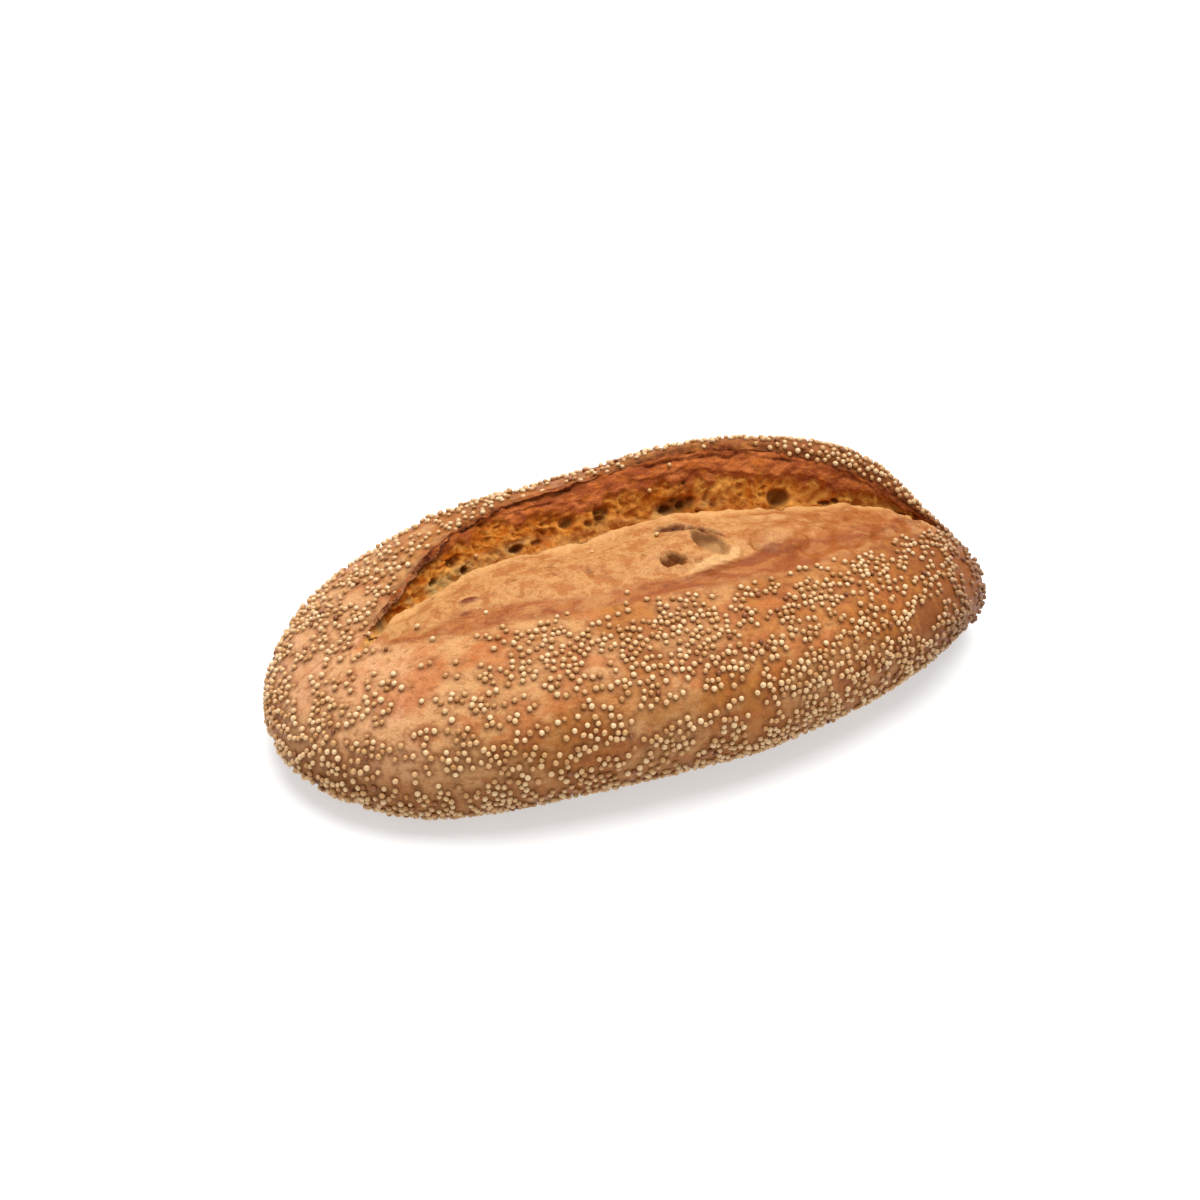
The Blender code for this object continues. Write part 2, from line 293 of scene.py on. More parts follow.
class LoafForm:
    """The loaf's smooth form, the same as the CAD solid's without its seeds."""

    def __init__(self, sizes: LoafSizes, score: ScoreSizes) -> None:
        """Keeps the sizes that the form is worked out from."""
        self.sizes = sizes
        self.score = score

    @staticmethod
    def end_rounding(u: Array, powers: tuple[float, float]) -> Array:
        """Share of the full size that is left at u, down to 0 at both ends."""
        power = np.where(u < 0.0, powers[0], powers[1])
        return np.sqrt(np.maximum(0.0, 1.0 - np.abs(u) ** power))

    def opening(self, u: Array) -> Array:
        """1 along the score, falling to 0 at its two tips.

        Args:
            u: Places along the loaf, from -1 to 1.

        Returns:
            One value per place.
        """
        middle = 0.5 * (self.score.ends[0] + self.score.ends[1])
        half = 0.5 * (self.score.ends[1] - self.score.ends[0])
        return np.maximum(0.0, 1.0 - ((u - middle) / half) ** 4) ** 0.6

    def line(self, u: Array, values: tuple[float, ...]) -> Array:
        """One of the score's lines at u."""
        return control_curve(u, self.score.places, values)

    def belly(self, u: Array) -> Array:
        """Height of the widest line."""
        past = np.maximum(0.0, np.abs(u) - self.sizes.belly_level_share)
        return self.sizes.belly_height - self.sizes.end_belly_drop * past ** 2

    def angle_of(self, across: Array) -> Array:
        """Angle round the section for a place across it, from the near side over the top."""
        power = self.sizes.top_power / 2.0
        return np.arccos(np.clip(-np.sign(across) * np.abs(across) ** power, -1.0, 1.0))

    def upper_limits(self, u: Array) -> list[Array]:
        """Angles at which the bands of the upper section start and end.

        Args:
            u: Places along the loaf, from -1 to 1.

        Returns:
            One more list of angles than there are bands.
        """
        foot = self.line(u, self.score.bloom_foot)
        edge = self.line(u, self.score.bloom_edge)
        lip = np.maximum(self.line(u, self.score.ear_lip), edge + 0.05)
        drop = np.maximum(self.line(u, self.score.lip_drop), 0.0)
        ridge = lip + 0.04 + 18.0 * drop * self.opening(u)
        stops = (foot, 0.5 * (foot + edge), edge, 0.7 * edge + 0.3 * lip, lip, ridge)
        angles = [self.angle_of(stop) for stop in stops]
        shoulder = self.angle_of(np.full_like(u, self.sizes.far_shoulder))
        shoulder = np.maximum(shoulder, angles[-1] + 0.05)
        return [np.zeros_like(u)] + angles + [shoulder, np.full_like(u, math.pi)]

    def lower_limits(self, u: Array) -> list[Array]:
        """Angles at which the far underside, the base and the near underside meet.

        Args:
            u: Places along the loaf, from -1 to 1.

        Returns:
            One more list of angles than there are bands.
        """
        belly = self.belly(u)
        reach = (belly + self.sizes.base_sink) * self.end_rounding(u, self.sizes.under_powers)
        share = np.clip(belly / np.maximum(reach, 1e-6), 0.0, 1.0)
        turn = np.arcsin(share ** (self.sizes.under_power / 2.0))
        turn = np.minimum(turn, 0.5 * math.pi - 0.3)
        return [np.full_like(u, math.pi), math.pi + turn, 2.0 * math.pi - turn,
                np.full_like(u, 2.0 * math.pi)]

    def score_relief(self, u: Array, band: Band, t: Array) -> tuple[Array, Array]:
        """Sideways shift and rise that the score adds in one band.

        Args:
            u: Places along the loaf.
            band: The band of the upper section.
            t: Shares of the way through the band.

        Returns:
            The shift towards +Y and the rise, in metres.
        """
        opening = self.opening(u)
        ridge = control_curve(u, (-1.0,) + self.score.places + (1.0,),
                              (0.0,) + self.score.ear_height + (0.0,))
        lip = ridge - self.line(u, self.score.lip_drop) * opening
        bulge = self.score.bulge * opening
        edge = -self.score.edge_drop * opening
        valley = -self.score.valley_depth * opening
        lean = self.score.valley_lean * opening
        zero = np.zeros_like(u)
        steep = np.sin(0.5 * math.pi * t)
        face = 1.0 - (1.0 - t) ** 1.3 * (1.0 - 0.15 * np.sin(math.pi * t))
        rises = {
            Band.BLOOM_LOW: (zero, bulge, ease(t)), Band.BLOOM_TOP: (bulge, edge, ease(t)),
            Band.VALLEY: (edge, valley, steep), Band.EAR_FACE: (valley, lip, face),
            Band.EAR_TOP: (lip, ridge, steep), Band.EAR_BACK: (ridge, zero, t ** 1.4),
        }
        shifts = {
            Band.VALLEY: (zero, lean, ease(t)), Band.EAR_FACE: (lean, -0.25 * lean, t ** 1.5),
            Band.EAR_TOP: (-0.25 * lean, zero, ease(t)),
        }
        start, end, share = rises.get(band, (zero, zero, t))
        rise = start + (end - start) * share
        start, end, share = shifts.get(band, (zero, zero, t))
        return start + (end - start) * share, rise

    def point(self, u: Array, band: Band, t: Array) -> Array:
        """Points of the smooth surface.

        Args:
            u: Places along the loaf, from -1 to 1.
            band: The band of the section.
            t: Shares of the way through the band.

        Returns:
            Points in metres, with x, y and z in the last axis.
        """
        u, t = np.broadcast_arrays(np.asarray(u, float), np.asarray(t, float))
        sizes = self.sizes
        belly = self.belly(u)
        upper = band.value <= Band.FAR_SHOULDER.value
        limits = self.upper_limits(u) if upper else self.lower_limits(u)
        index = band.value if upper else band.value - Band.FAR_UNDER.value
        angle = limits[index] + (limits[index + 1] - limits[index]) * t
        sine = np.abs(np.sin(angle))
        if upper:
            crown = (sizes.crown_height - belly) * (1.0 + sizes.crown_tilt * u)
            crown = crown * self.end_rounding(u, sizes.crown_powers)
            shift, rise = self.score_relief(u, band, t)
            height = belly + crown * sine ** (2.0 / sizes.top_power) + rise
        else:
            depth = (belly + sizes.base_sink) * self.end_rounding(u, sizes.under_powers)
            shift = 0.0
            height = np.maximum(0.0, belly - depth * sine ** (2.0 / sizes.under_power))
        across = -np.sign(np.cos(angle)) * np.abs(np.cos(angle)) ** (2.0 / sizes.top_power)
        half_width = 0.5 * sizes.width * self.end_rounding(u, sizes.plan_powers)
        return np.stack([0.5 * sizes.length * u, half_width * across + shift, height], axis=-1)


class LoafGrid:
    """A fine net of points over the loaf, one row per station and one column per ring step."""

    steps: dict[Band, int] = {
        Band.NEAR_FLANK: 42, Band.BLOOM_LOW: 22, Band.BLOOM_TOP: 26, Band.VALLEY: 8,
        Band.EAR_FACE: 54, Band.EAR_TOP: 13, Band.EAR_BACK: 25, Band.FAR_SHOULDER: 7,
        Band.FAR_UNDER: 10, Band.BASE: 2, Band.NEAR_UNDER: 11,
    }

    def __init__(self, form: LoafForm, stations: int = 448) -> None:
        """Lays the net out over the smooth form.

        Args:
            form: The smooth form.
            stations: Number of cross-sections between the two tips.
        """
        turn = np.linspace(-1.0, 1.0, stations + 2)[1:-1]
        self.u = 0.42 * np.sin(0.5 * math.pi * turn) + 0.58 * turn
        columns, bands = [], []
        for band, steps in self.steps.items():
            for step in range(steps):
                columns.append(form.point(self.u, band, np.full_like(self.u, step / steps)))
                bands.append(band.value)
        self.form = form
        self.points = np.stack(columns, axis=1)
        self.band = np.array(bands)
        self.opening = form.opening(self.u)[:, None]
        self.arc = self.ring_lengths()
        self.normal = self.normals(self.points)

    def ring_lengths(self) -> Array:
        """Distance round each section from the near side's widest point, in millimetres.

        Returns:
            One distance per point of the net.
        """
        steps = np.linalg.norm(np.diff(self.points, axis=1), axis=2)
        start = np.zeros((len(self.u), 1))
        return np.concatenate([start, np.cumsum(steps, axis=1)], axis=1) / MM

    @staticmethod
    def normals(points: Array) -> Array:
        """Unit normals of a net of points whose columns close into rings.

        Args:
            points: The net's points, one row per station.

        Returns:
            One unit normal per point.
        """
        along = np.gradient(points, axis=0)
        round_it = np.roll(points, -1, axis=1) - np.roll(points, 1, axis=1)
        normal = np.cross(along, round_it)
        return normal / np.maximum(np.linalg.norm(normal, axis=2, keepdims=True), 1e-12)

    def column_of(self, band: Band) -> int:
        """Column at which a band starts."""
        return int(np.argmax(self.band == band.value))

    def past(self, band: Band) -> Array:
        """Distance round the section past a band's start, in millimetres."""
        column = self.column_of(band)
        return self.arc - self.arc[:, column:column + 1]

    def sheet(self, along: float, across: float, offset: float = 0.0) -> Array:
        """Points in the surface's own lengths, for noise that is stretched along it.

        Args:
            along: Length of a noise cell along the loaf, in millimetres.
            across: Length of a noise cell round the section, in millimetres.
            offset: Shift that sets one field apart from another.

        Returns:
            Lattice coordinates with three in the last axis.
        """
        x = self.points[..., 0] / MM / along
        return np.stack([x + offset, self.arc / across, np.full_like(x, offset)], axis=-1)

    def space(self, cell: float) -> Array:
        """Points in lattice units of a cell's size in millimetres."""
        return self.points / (cell * MM)

    def ripple(self, seed: int, cell: tuple[float, float, float], octaves: int,
               gain: float = 0.5) -> Array:
        """Noise in the surface's own lengths.

        Args:
            seed: Which field to read.
            cell: Its length along the loaf and round the section, in millimetres, and its shift.
            octaves: Levels of detail.
            gain: Strength of each level against the one before.

        Returns:
            One value per point of the net, from about -1 to 1.
        """
        return Noise(seed).fractal(self.sheet(*cell), octaves, gain)

    def lumps(self, seed: int, cell: float, octaves: int, gain: float = 0.5) -> Array:
        """Noise that is even in all directions.

        Args:
            seed: Which field to read.
            cell: Size of its features, in millimetres.
            octaves: Levels of detail.
            gain: Strength of each level against the one before.

        Returns:
            One value per point of the net, from about -1 to 1.
        """
        return Noise(seed).fractal(self.space(cell), octaves, gain)


@dataclass(frozen=True)
class Spot:
    """A feature with a place of its own, in millimetres along the loaf and round the section.

    The way round is counted from the bloom's edge at the opening, towards the ear.
    """

    x: float
    around: float
    length: float
    height: float
    depth: float = 0.0
    turn: float = 0.0
    strength: float = 1.0


@dataclass(frozen=True)
class ReliefSpots:
    """The features that have places of their own."""

    holes: tuple[Spot, ...] = (
        Spot(1.0, -29.4, 3.5, 2.9, 2.4, -0.35), Spot(3.6, -30.9, 2.3, 1.9, 1.5, 0.0, 0.9),
        Spot(17.2, 14.4, 2.7, 1.5, 1.6, 0.1, 0.9),
        Spot(22.8, 15.2, 2.0, 1.4, 1.6, 0.5, 0.9), Spot(24.2, 22.7, 0.9, 1.0, 1.2, 0.0, 0.8),
        Spot(26.2, 17.0, 1.2, 0.8, 1.0, 0.3, 0.8), Spot(20.2, 17.4, 1.0, 0.8, 0.9, 0.3, 0.6),
        Spot(28.4, 12.4, 1.5, 0.8, 1.0, 0.0, 0.7), Spot(71.8, 11.8, 3.0, 1.0, 1.3, 0.0, 0.8),
        Spot(74.8, 12.4, 1.4, 1.3, 1.6, 0.0, 0.9), Spot(88.3, 8.2, 2.2, 0.8, 1.2, 0.0, 0.8),
        Spot(98.0, 6.8, 1.8, 0.8, 0.9, 0.0, 0.6), Spot(-35.9, 13.2, 3.2, 1.7, 2.0, 0.1, 0.8),
        Spot(-28.6, 13.4, 2.4, 1.0, 1.4, 0.0, 0.8), Spot(-10.6, 15.3, 1.8, 1.4, 1.4, 0.0, 0.55),
        Spot(-55.0, 11.2, 1.6, 1.5, 1.9, 0.0, 0.9), Spot(-58.1, 15.0, 3.0, 2.2, 1.6, 0.2, 0.55),
        Spot(-66.5, 10.6, 1.9, 1.5, 1.6, 0.3, 0.7), Spot(-78.5, 10.6, 1.2, 1.0, 1.1, 0.0, 0.8),
        Spot(-71.4, -2.2, 1.3, 1.0, 0.9, 0.3, 0.5), Spot(40.0, -13.9, 1.1, 0.9, 0.7, 0.0, 0.6),
        Spot(60.8, -8.6, 1.0, 0.8, 0.7, 0.0, 0.7), Spot(8.5, -34.0, 1.9, 1.4, 0.6, 0.0, 0.3),
        Spot(-47.5, -17.5, 1.9, 0.9, 0.8, 0.2, 0.45), Spot(-34.1, -13.7, 1.5, 1.2, 0.8, 0.4, 0.45),
        Spot(-24.4, -23.0, 1.3, 0.9, 0.7, 0.0, 0.5), Spot(-39.7, -11.2, 2.0, 0.8, 0.7, 0.1, 0.35),
        Spot(-18.1, -10.1, 1.4, 0.8, 0.6, 0.0, 0.3), Spot(-5.7, -23.7, 0.9, 0.8, 0.7, 0.0, 0.6),
        Spot(-94.7, -28.0, 1.9, 1.7, 0.8, 0.0, 0.35), Spot(-89.2, -32.4, 1.5, 1.3, 0.7, 0.0, 0.3),
    )
    ovals: tuple[Spot, ...] = (
        Spot(56.0, 14.6, 4.6, 3.6, 2.2, 0.05), Spot(-17.7, 17.4, 3.0, 2.4, 1.5, 0.2, 0.8),
        Spot(-5.5, 17.6, 3.2, 2.8, 1.7, 0.1, 0.8), Spot(20.5, 15.4, 8.0, 3.4, 1.5, 0.06, 0.75),
    )
    bubble: Spot = Spot(10.5, -25.5, 15.5, 14.0, 0.0, -0.35)
    swelling: Spot = Spot(38.8, -27.5, 10.5, 7.0, 0.0, 0.12)
    tear: Spot = Spot(-91.6, -1.4, 9.2, 3.4, 1.5, 0.55)
    window: Spot = Spot(16.6, -24.6, 9.8, 5.2, 2.3, -1.5)
    blisters: tuple[Spot, ...] = (Spot(-62.9, -17.0, 4.2, 1.5, -0.7, -0.35),)
    # The patch at 12 mm along the dome's lower rim is a painted highlight, and the long one at 74
    # mm is painted light on crumb in the ear's shade.
    pale_spots: tuple[Spot, ...] = (
        Spot(-62.6, -23.2, 4.2, 2.8, -0.2, -0.2, 0.7),
        Spot(12.0, -36.5, 13.0, 3.2, -0.4, 0.12, 0.8),
        Spot(38.8, -27.0, 7.5, 6.0, -0.4, 0.0, 0.3), Spot(44.0, -9.0, 12.0, 4.5, -0.2, 0.0, 0.35),
        Spot(74.0, 10.5, 26.0, 6.5, 0.0, -0.15), Spot(37.2, 18.6, 7.0, 4.5, -0.3, 0.0, 0.75),
        Spot(29.5, 19.5, 3.0, 5.0, -0.2, 0.0, 0.5),
    )
    red_spots: tuple[Spot, ...] = (Spot(-88.0, -33.0, 16.0, 10.0), Spot(-66.0, -38.0, 14.0, 5.0))


@dataclass(frozen=True)
class ReliefHeights:
    """How far each kind of relief rises above or sinks into the smooth form, in millimetres."""

    crust_lumps: float = 0.5
    crust_sink: float = 0.46
    crust_fine: float = 0.26
    crust_coarse: float = 0.28
    wrinkles: float = 0.16
    bloom_blisters: float = 1.1
    bloom_rough: float = 0.50
    flake_step: float = 0.55
    flake_sink: float = 0.3
    seam: float = 0.45
    prick: float = 0.75
    edge_rise: float = 0.25
    edge_ragged: float = 0.95
    bubble: float = 1.7
    bubble_foot: float = 0.9
    lid_groove: float = 1.3
    lid_rise: float = 0.9
    lid_crease: float = 0.5
    swelling: float = 1.3
    skin_folds: float = 0.65
    skin_rough: float = 0.7
    skin_sink: float = 0.3
    crumb_sink: float = 0.8
    crumb_bowls: float = 1.6
    crumb_cups: float = 0.8
    crumb_fibres: float = 0.7
    crumb_lumps: float = 0.6
    cavern: float = 1.3
    lip_ragged: float = 0.9
    lip_sink: float = 0.1
    lip_notch: float = 0.7
    lip_curl: float = 0.6
    lip_fold: float = 1.0
    lip_tear: float = 1.0
    lip_crumple: float = 0.9


class Relief:
    """Everything that stands out from or sinks into the smooth form, and masks for its looks."""

    def __init__(self, grid: LoafGrid, spots: ReliefSpots, heights: ReliefHeights) -> None:
        """Works out the relief and its masks over a net of points.

        Args:
            grid: The loaf's net.
            spots: The features that have places of their own.
            heights: How far each kind of relief stands out.
        """
        self.grid = grid
        self.spots = spots
        self.heights = heights
        self.x = np.broadcast_to((grid.points[:, :1, 0]) / MM, grid.arc.shape)
        self.height_mm = grid.points[..., 2] / MM
        self.foot = grid.past(Band.BLOOM_LOW)
        self.around = grid.past(Band.VALLEY)
        self.below_lip = -grid.past(Band.EAR_TOP)
        face = grid.past(Band.EAR_FACE)
        self.up = face / np.maximum(face + self.below_lip, 0.5)
        self.open = ease(grid.opening / 0.35)
        self.masks: dict[str, Array] = {}
        self.height = np.zeros(grid.arc.shape)
        self.lay_out_bloom()
        self.lay_out_face()
        self.shape_crust()
        self.shape_bloom()
        self.shape_bubble()
        self.shape_skin()
        self.shape_crumb()
        self.shape_lip()
        self.cut_spots()

    def along(self, places: tuple[float, ...], values: tuple[float, ...]) -> Array:
        """A value that varies along the loaf only, as one column."""
        return control_curve(self.grid.u, places, values)[:, None]

    def lay_out_bloom(self) -> None:
        """Finds the bloom and the lighter part of it that opened last."""
        grid, masks = self.grid, self.masks
        ragged = 1.5 * grid.ripple(12, (11.0, 30.0, 5.2), 4)
        above = ease((self.foot + ragged + 0.8) / 2.4)
        masks["bloom"] = above * ramp(self.around, 0.9, -1.2) * self.open
        start = self.along((-0.70, -0.62, -0.56, -0.48, -0.39, -0.30, -0.09, 0.02, 0.13, 0.21,
                            0.30, 0.5, 0.85),
                           (1.5, 3.0, 7.5, 10.0, 8.5, 6.5, 7.5, 6.2, 7.0, 10.0, 12.0, 10.0, 5.0))
        wander = 2.4 * grid.ripple(13, (15.0, 8.0, 1.7), 4)
        masks["light"] = ease((self.foot + wander - start) / 2.0) * masks["bloom"]
        right = ramp(grid.u, 0.22, 0.16)[:, None]
        warp = 0.3 * grid.lumps(17, 7.0, 3)[..., None]
        cell, after, name = Noise(16).cells(grid.sheet(17.0, 9.5, 2.2) + warp)
        seams = hump(after - cell, 0.16)
        masks["seam"] = np.clip(seams * right * masks["bloom"], 0.0, 1.0)
        dusk = right * (0.35 + 0.65 * (name > 0.45)) * (1.0 - 0.5 * seams)
        masks["dusk"] = np.clip(dusk, 0.0, 1.0)

    def lay_out_face(self) -> None:
        """Finds the torn crumb under the ear, its grey pockets and the skin above it."""
        grid, masks = self.grid, self.masks
        wobble = 0.7 * grid.ripple(11, (7.0, 60.0, 3.1), 3)
        past_edge = ease((self.around + wobble + 0.2) / 0.8)
        masks["inside"] = past_edge * ramp(self.below_lip, -0.3, 0.7) * self.open
        top = self.along((-0.74, -0.50, -0.38, -0.25, -0.10, 0.0, 0.12, 0.24, 0.45, 0.62, 0.75,
                          0.88),
                         (0.84, 0.80, 0.76, 0.70, 0.60, 0.62, 0.66, 0.58, 0.60, 0.66, 0.64, 0.58))
        shift = 0.14 * grid.ripple(14, (9.0, 30.0, 8.8), 3)
        shift = shift + 0.16 * grid.ripple(18, (2.8, 7.0, 4.8), 4)
        masks["crumb"] = ease((top + 0.04 + shift - self.up) / 0.16) * masks["inside"]
        tear = ease(self.lens(self.spots.tear) / 0.35)
        self.lift("inside", tear)
        self.lift("crumb", tear)
        self.height -= self.spots.tear.depth * ease(self.lens(self.spots.tear) / 0.5)
        reach = self.along((-0.74, -0.5, -0.1, 0.3, 0.6, 0.88),
                           (0.30, 0.26, 0.22, 0.20, 0.16, 0.14))
        share = self.along((-0.74, -0.5, -0.36, -0.25, -0.12, 0.0, 0.12, 0.22, 0.32, 0.5, 0.6,
                            0.88),
                           (1.0, 0.95, 0.5, 0.9, 0.30, 0.40, 0.85, 0.7, 0.6, 0.6, 0.8, 0.9))
        patches = ease(0.5 + 1.5 * grid.ripple(61, (8.0, 6.0, 2.0), 3) + 0.4 * (share - 0.5))
        masks["grey"] = ease((reach + 0.12 - self.up) / 0.16) * share * patches * masks["inside"]
        self.lift("grey", 0.7 * tear)
        amber = 0.80 * hump(self.x + 12.0, 30.0) * ease(0.6 + 1.5 * shift)
        masks["amber"] = amber * masks["inside"]

    def shape_crust(self) -> None:
        """Uneven hand-shaped crust, with fine wrinkles and the pinched lower left end."""
        grid, mm = self.grid, self.heights
        base = ease(self.height_mm / 4.0)
        lumps = mm.crust_lumps * grid.lumps(21, 46.0, 3) - mm.crust_sink
        skin = mm.crust_fine * grid.lumps(22, 7.0, 4) + mm.crust_coarse * grid.lumps(24, 15.0, 2)
        wrinkles = mm.wrinkles * grid.ripple(23, (12.0, 3.0, 2.0), 4)
        self.height += (lumps + skin + wrinkles) * base + self.hand_shaping()
        creases = np.zeros(grid.arc.shape)
        for u, tilt, depth in ((-0.935, 0.03, 0.8), (-0.871, -0.04, 1.1), (-0.835, 0.05, 0.6)):
            line = u + tilt * (self.height_mm - 12.0) / 14.0
            low = hump(self.height_mm - 10.0, 9.0) * (grid.points[..., 1] < 0.0)
            creases += depth * hump((grid.u[:, None] - line) * HALF_LENGTH, 1.1) * low
        self.height -= creases
        # painted shade in the pinched creases
        self.masks["crease"] = np.clip(0.9 * creases, 0.0, 1.0)
        self.masks["red"] = np.zeros(grid.arc.shape)
        for spot in self.spots.red_spots:
            self.lift("red", ease(self.lens(spot) / 0.5))

    def hand_shaping(self) -> Array:
        """Broad swells and hollows where the loaf was shaped by hand, in millimetres.

        Returns:
            One height per point of the net.
        """
        near = ease(-self.grid.points[..., 1] / MM / 10.0)
        far = 1.0 - near
        total = np.zeros(self.grid.arc.shape)
        for x, level, length, high, amount, side in (
                (-86.0, 3.0, 26.0, 13.0, 1.9, near), (102.0, 8.0, 17.0, 13.0, -2.6, near),
                (84.0, 56.0, 20.0, 16.0, 1.3, far), (-20.0, 64.0, 15.0, 14.0, -1.7, far)):
            total += amount * hump(self.x - x, length) * hump(self.height_mm - level, high) * side
        return total

    def shape_bloom(self) -> None:
        """Smooth blistered bloom with flaky steps along its reddish foot and a ragged edge."""
        grid, masks, mm = self.grid, self.masks, self.heights
        blisters = mm.bloom_blisters * grid.ripple(31, (17.0, 11.0, 4.0), 4)
        flakes = grid.ripple(32, (26.0, 3.4, 6.0), 4)
        step = mm.flake_step * ease(0.5 + 4.0 * flakes) - mm.flake_sink
        red = masks["bloom"] * (1.0 - masks["light"])
        self.height += blisters * masks["bloom"] * ease(grid.opening) + step * red
        under = hump(self.x - 8.0, 30.0)
        broken = ease(0.25 + 0.45 * under + 1.7 * grid.ripple(37, (12.0, 5.0, 3.3), 3))
        masks["under"] = np.clip(under * red, 0.0, 1.0)
        masks["flake"] = hump(flakes, 0.09) * red * broken
        self.height -= mm.seam * masks["seam"]
        cell, _, name = Noise(33).cells(grid.sheet(6.5, 5.5, 9.0))
        pits = (name > 0.80) * ramp(cell, 0.22, -0.12) * masks["light"]
        self.height -= mm.prick * pits
        # painted shade in the pits
        masks["prick"] = pits
        uneven = 2.2 + 1.8 * ease(0.5 + 1.8 * grid.ripple(39, (12.0, 30.0, 2.9), 3))
        # painted highlight along the bloom's raised edge
        masks["edge"] = hump(self.around + 0.8, uneven) * masks["bloom"]
        edge = hump(self.around + 1.2, 2.0) * ease(grid.opening / 0.4)
        ragged = mm.edge_ragged * grid.ripple(34, (5.0, 30.0, 7.7), 4)
        self.height += edge * (mm.edge_rise + ragged)
        self.height += mm.bloom_rough * grid.lumps(36, 4.6, 5, 0.6) * masks["bloom"]

    def shape_bubble(self) -> None:
        """The large broken blister: a raised rim, a creased lid and a sunken grey window."""
        masks, mm = self.masks, self.heights
        dome = self.lens(self.spots.bubble)
        self.height += mm.bubble * ease(dome / 0.42)
        lower = ramp(self.around, -27.0, -4.0) * ramp(self.x, 3.0, 6.0)
        self.height += mm.bubble_foot * ease(dome / 0.10) * lower
        # painted highlight along the dome's lower rim
        masks["pale"] = 0.9 * ease(dome / 0.08) * ramp(dome, 0.34, -0.16) * lower
        # painted shadow: a dark line under the dome's lower rim
        foot = 0.8 * hump(dome - 0.01, 0.03) * (dome > 0.0) * lower
        self.lift("seam", foot)
        spot = self.spots.window
        lens = self.lens(spot)
        side = ((self.around - spot.around) * 0.9 - (self.x - spot.x) * 0.15) / spot.height
        shade = ease(lens / 0.18) * ramp(side, -0.1, 1.2)
        self.height -= spot.depth * ease(lens / 0.42) * (1.0 + 0.7 * shade)
        masks["window"] = ease(lens / 0.22)
        x, around = self.x, self.around
        lid = -8.6 - 0.035 * (x - 5.0) ** 2
        line = around - lid + 0.5 * self.grid.ripple(35, (6.0, 30.0, 1.1), 3)
        reach = ramp(x, 2.0, 6.0) * ramp(x, 26.0, -6.0)
        self.height -= mm.lid_groove * hump(line + 0.6, 1.3) * reach
        self.height += mm.lid_rise * hump(line - 2.2, 1.8) * reach
        # painted shade along the lid's groove
        self.lift("crease", 0.95 * hump(line, 1.0) * reach)
        second = hump(line + 4.2, 0.7) * ramp(x, 4.0, 4.0) * ramp(x, 17.0, -4.0)
        self.height -= mm.lid_crease * second
        under_lid = 0.85 * hump(line + 0.3, 0.8) * reach
        masks["shade"] = np.clip(0.7 * shade + 0.45 * second + under_lid, 0.0, 1.0)
        ring = self.lens(self.spots.swelling)
        self.height += mm.swelling * ease(ring / 0.35)
        broken = ease(0.5 + 1.6 * self.grid.ripple(38, (6.0, 6.0, 4.1), 2))
        rim = hump(ring - 0.06, 0.06) * (0.4 + 0.6 * broken)
        self.lift("seam", 1.3 * rim * (ring > 0.0))

    def shape_skin(self) -> None:
        """Smoother upper part of the ear's face, in folds that overlap downwards."""
        grid, masks, mm = self.grid, self.masks, self.heights
        warp = 3.4 * grid.ripple(45, (17.0, 30.0, 9.0), 4)
        warp = warp + 0.9 * grid.ripple(46, (4.0, 5.0, 3.0), 3)
        phase = (self.below_lip + warp) / 4.4
        layer = np.floor(phase)
        share = phase - layer
        where = np.stack([self.x / 13.0, layer * 7.7, np.zeros_like(layer)], axis=-1)
        strong = ease(0.15 + 1.9 * Noise(47).smooth(where))
        skin = masks["inside"] * (1.0 - masks["crumb"])
        profile = share ** 0.8 * ramp(share, 1.0, -0.14)
        rough = grid.ripple(48, (3.6, 3.0, 6.1), 5, 0.6)
        folded = mm.skin_folds * strong * profile
        self.height += skin * (folded + mm.skin_rough * rough - mm.skin_sink)
        line = np.minimum(share, 1.0 - share) * 4.4
        broken = ease(0.35 + 1.8 * grid.ripple(49, (4.5, 4.0, 2.7), 3))
        calm = 1.0 - 0.55 * ease(grid.u[:, None] / 0.3)
        folds = 0.55 * hump(line, 0.6) * strong * broken * skin * calm
        # painted shade along the steps between folds
        self.lift("crease", folds)

    def shape_crumb(self) -> None:
        """Torn crumb: broken bubbles between stringy walls that hang down from the skin."""
        grid, masks, mm = self.grid, self.masks, self.heights
        warp = 0.5 * grid.lumps(41, 5.0, 3)[..., None]
        large, large_next, size = Noise(42).cells(grid.sheet(7.0, 5.0, 0.3) + warp)
        small, small_next, name = Noise(43).cells(grid.sheet(2.4, 2.8, 0.8) + 1.6 * warp)
        low = 0.25 + 0.75 * ramp(self.up, 0.80, -0.5)
        bowls = ease((large_next - large) / 0.45) * ramp(size, 0.5, 0.4)
        cups = ease((small_next - small) / 0.5) * ramp(name, 0.2, 0.5)
        fibres = Noise(44).fractal(grid.sheet(1.5, 9.0, 0.2) + 0.7 * warp, 4)
        lumps = grid.lumps(40, 4.0, 4)
        depth = (mm.crumb_sink + mm.crumb_bowls * bowls * low + mm.crumb_cups * cups
                 - mm.crumb_fibres * fibres - mm.crumb_lumps * lumps)
        self.height -= masks["crumb"] * depth
        cavern = hump(self.x - 21.0, 12.0) * hump(self.up - 0.2, 0.22)
        self.height -= mm.cavern * masks["crumb"] * cavern
        # painted shade: sunk bowls, cups and the cavern darken the crumb
        sunk = 0.42 * bowls * low + 0.42 * cups * (0.5 + 0.5 * bowls)
        sunk = sunk - 0.3 * fibres + 0.30 * cavern
        masks["pit_shade"] = np.clip(sunk * masks["crumb"], 0.0, 1.0)
        # Raised cell walls and fibres are paler strands, with a painted highlight on these ridges.
        strings = hump(large_next - large, 0.08) + 0.7 * ramp(fibres, 0.3, 0.2)
        strings = np.clip(strings, 0.0, 1.0) * masks["crumb"]
        masks["string_and_highlight"] = strings * (1.0 - 0.75 * masks["amber"])
        masks["upper"] = ramp(self.up, 0.30, 0.4)

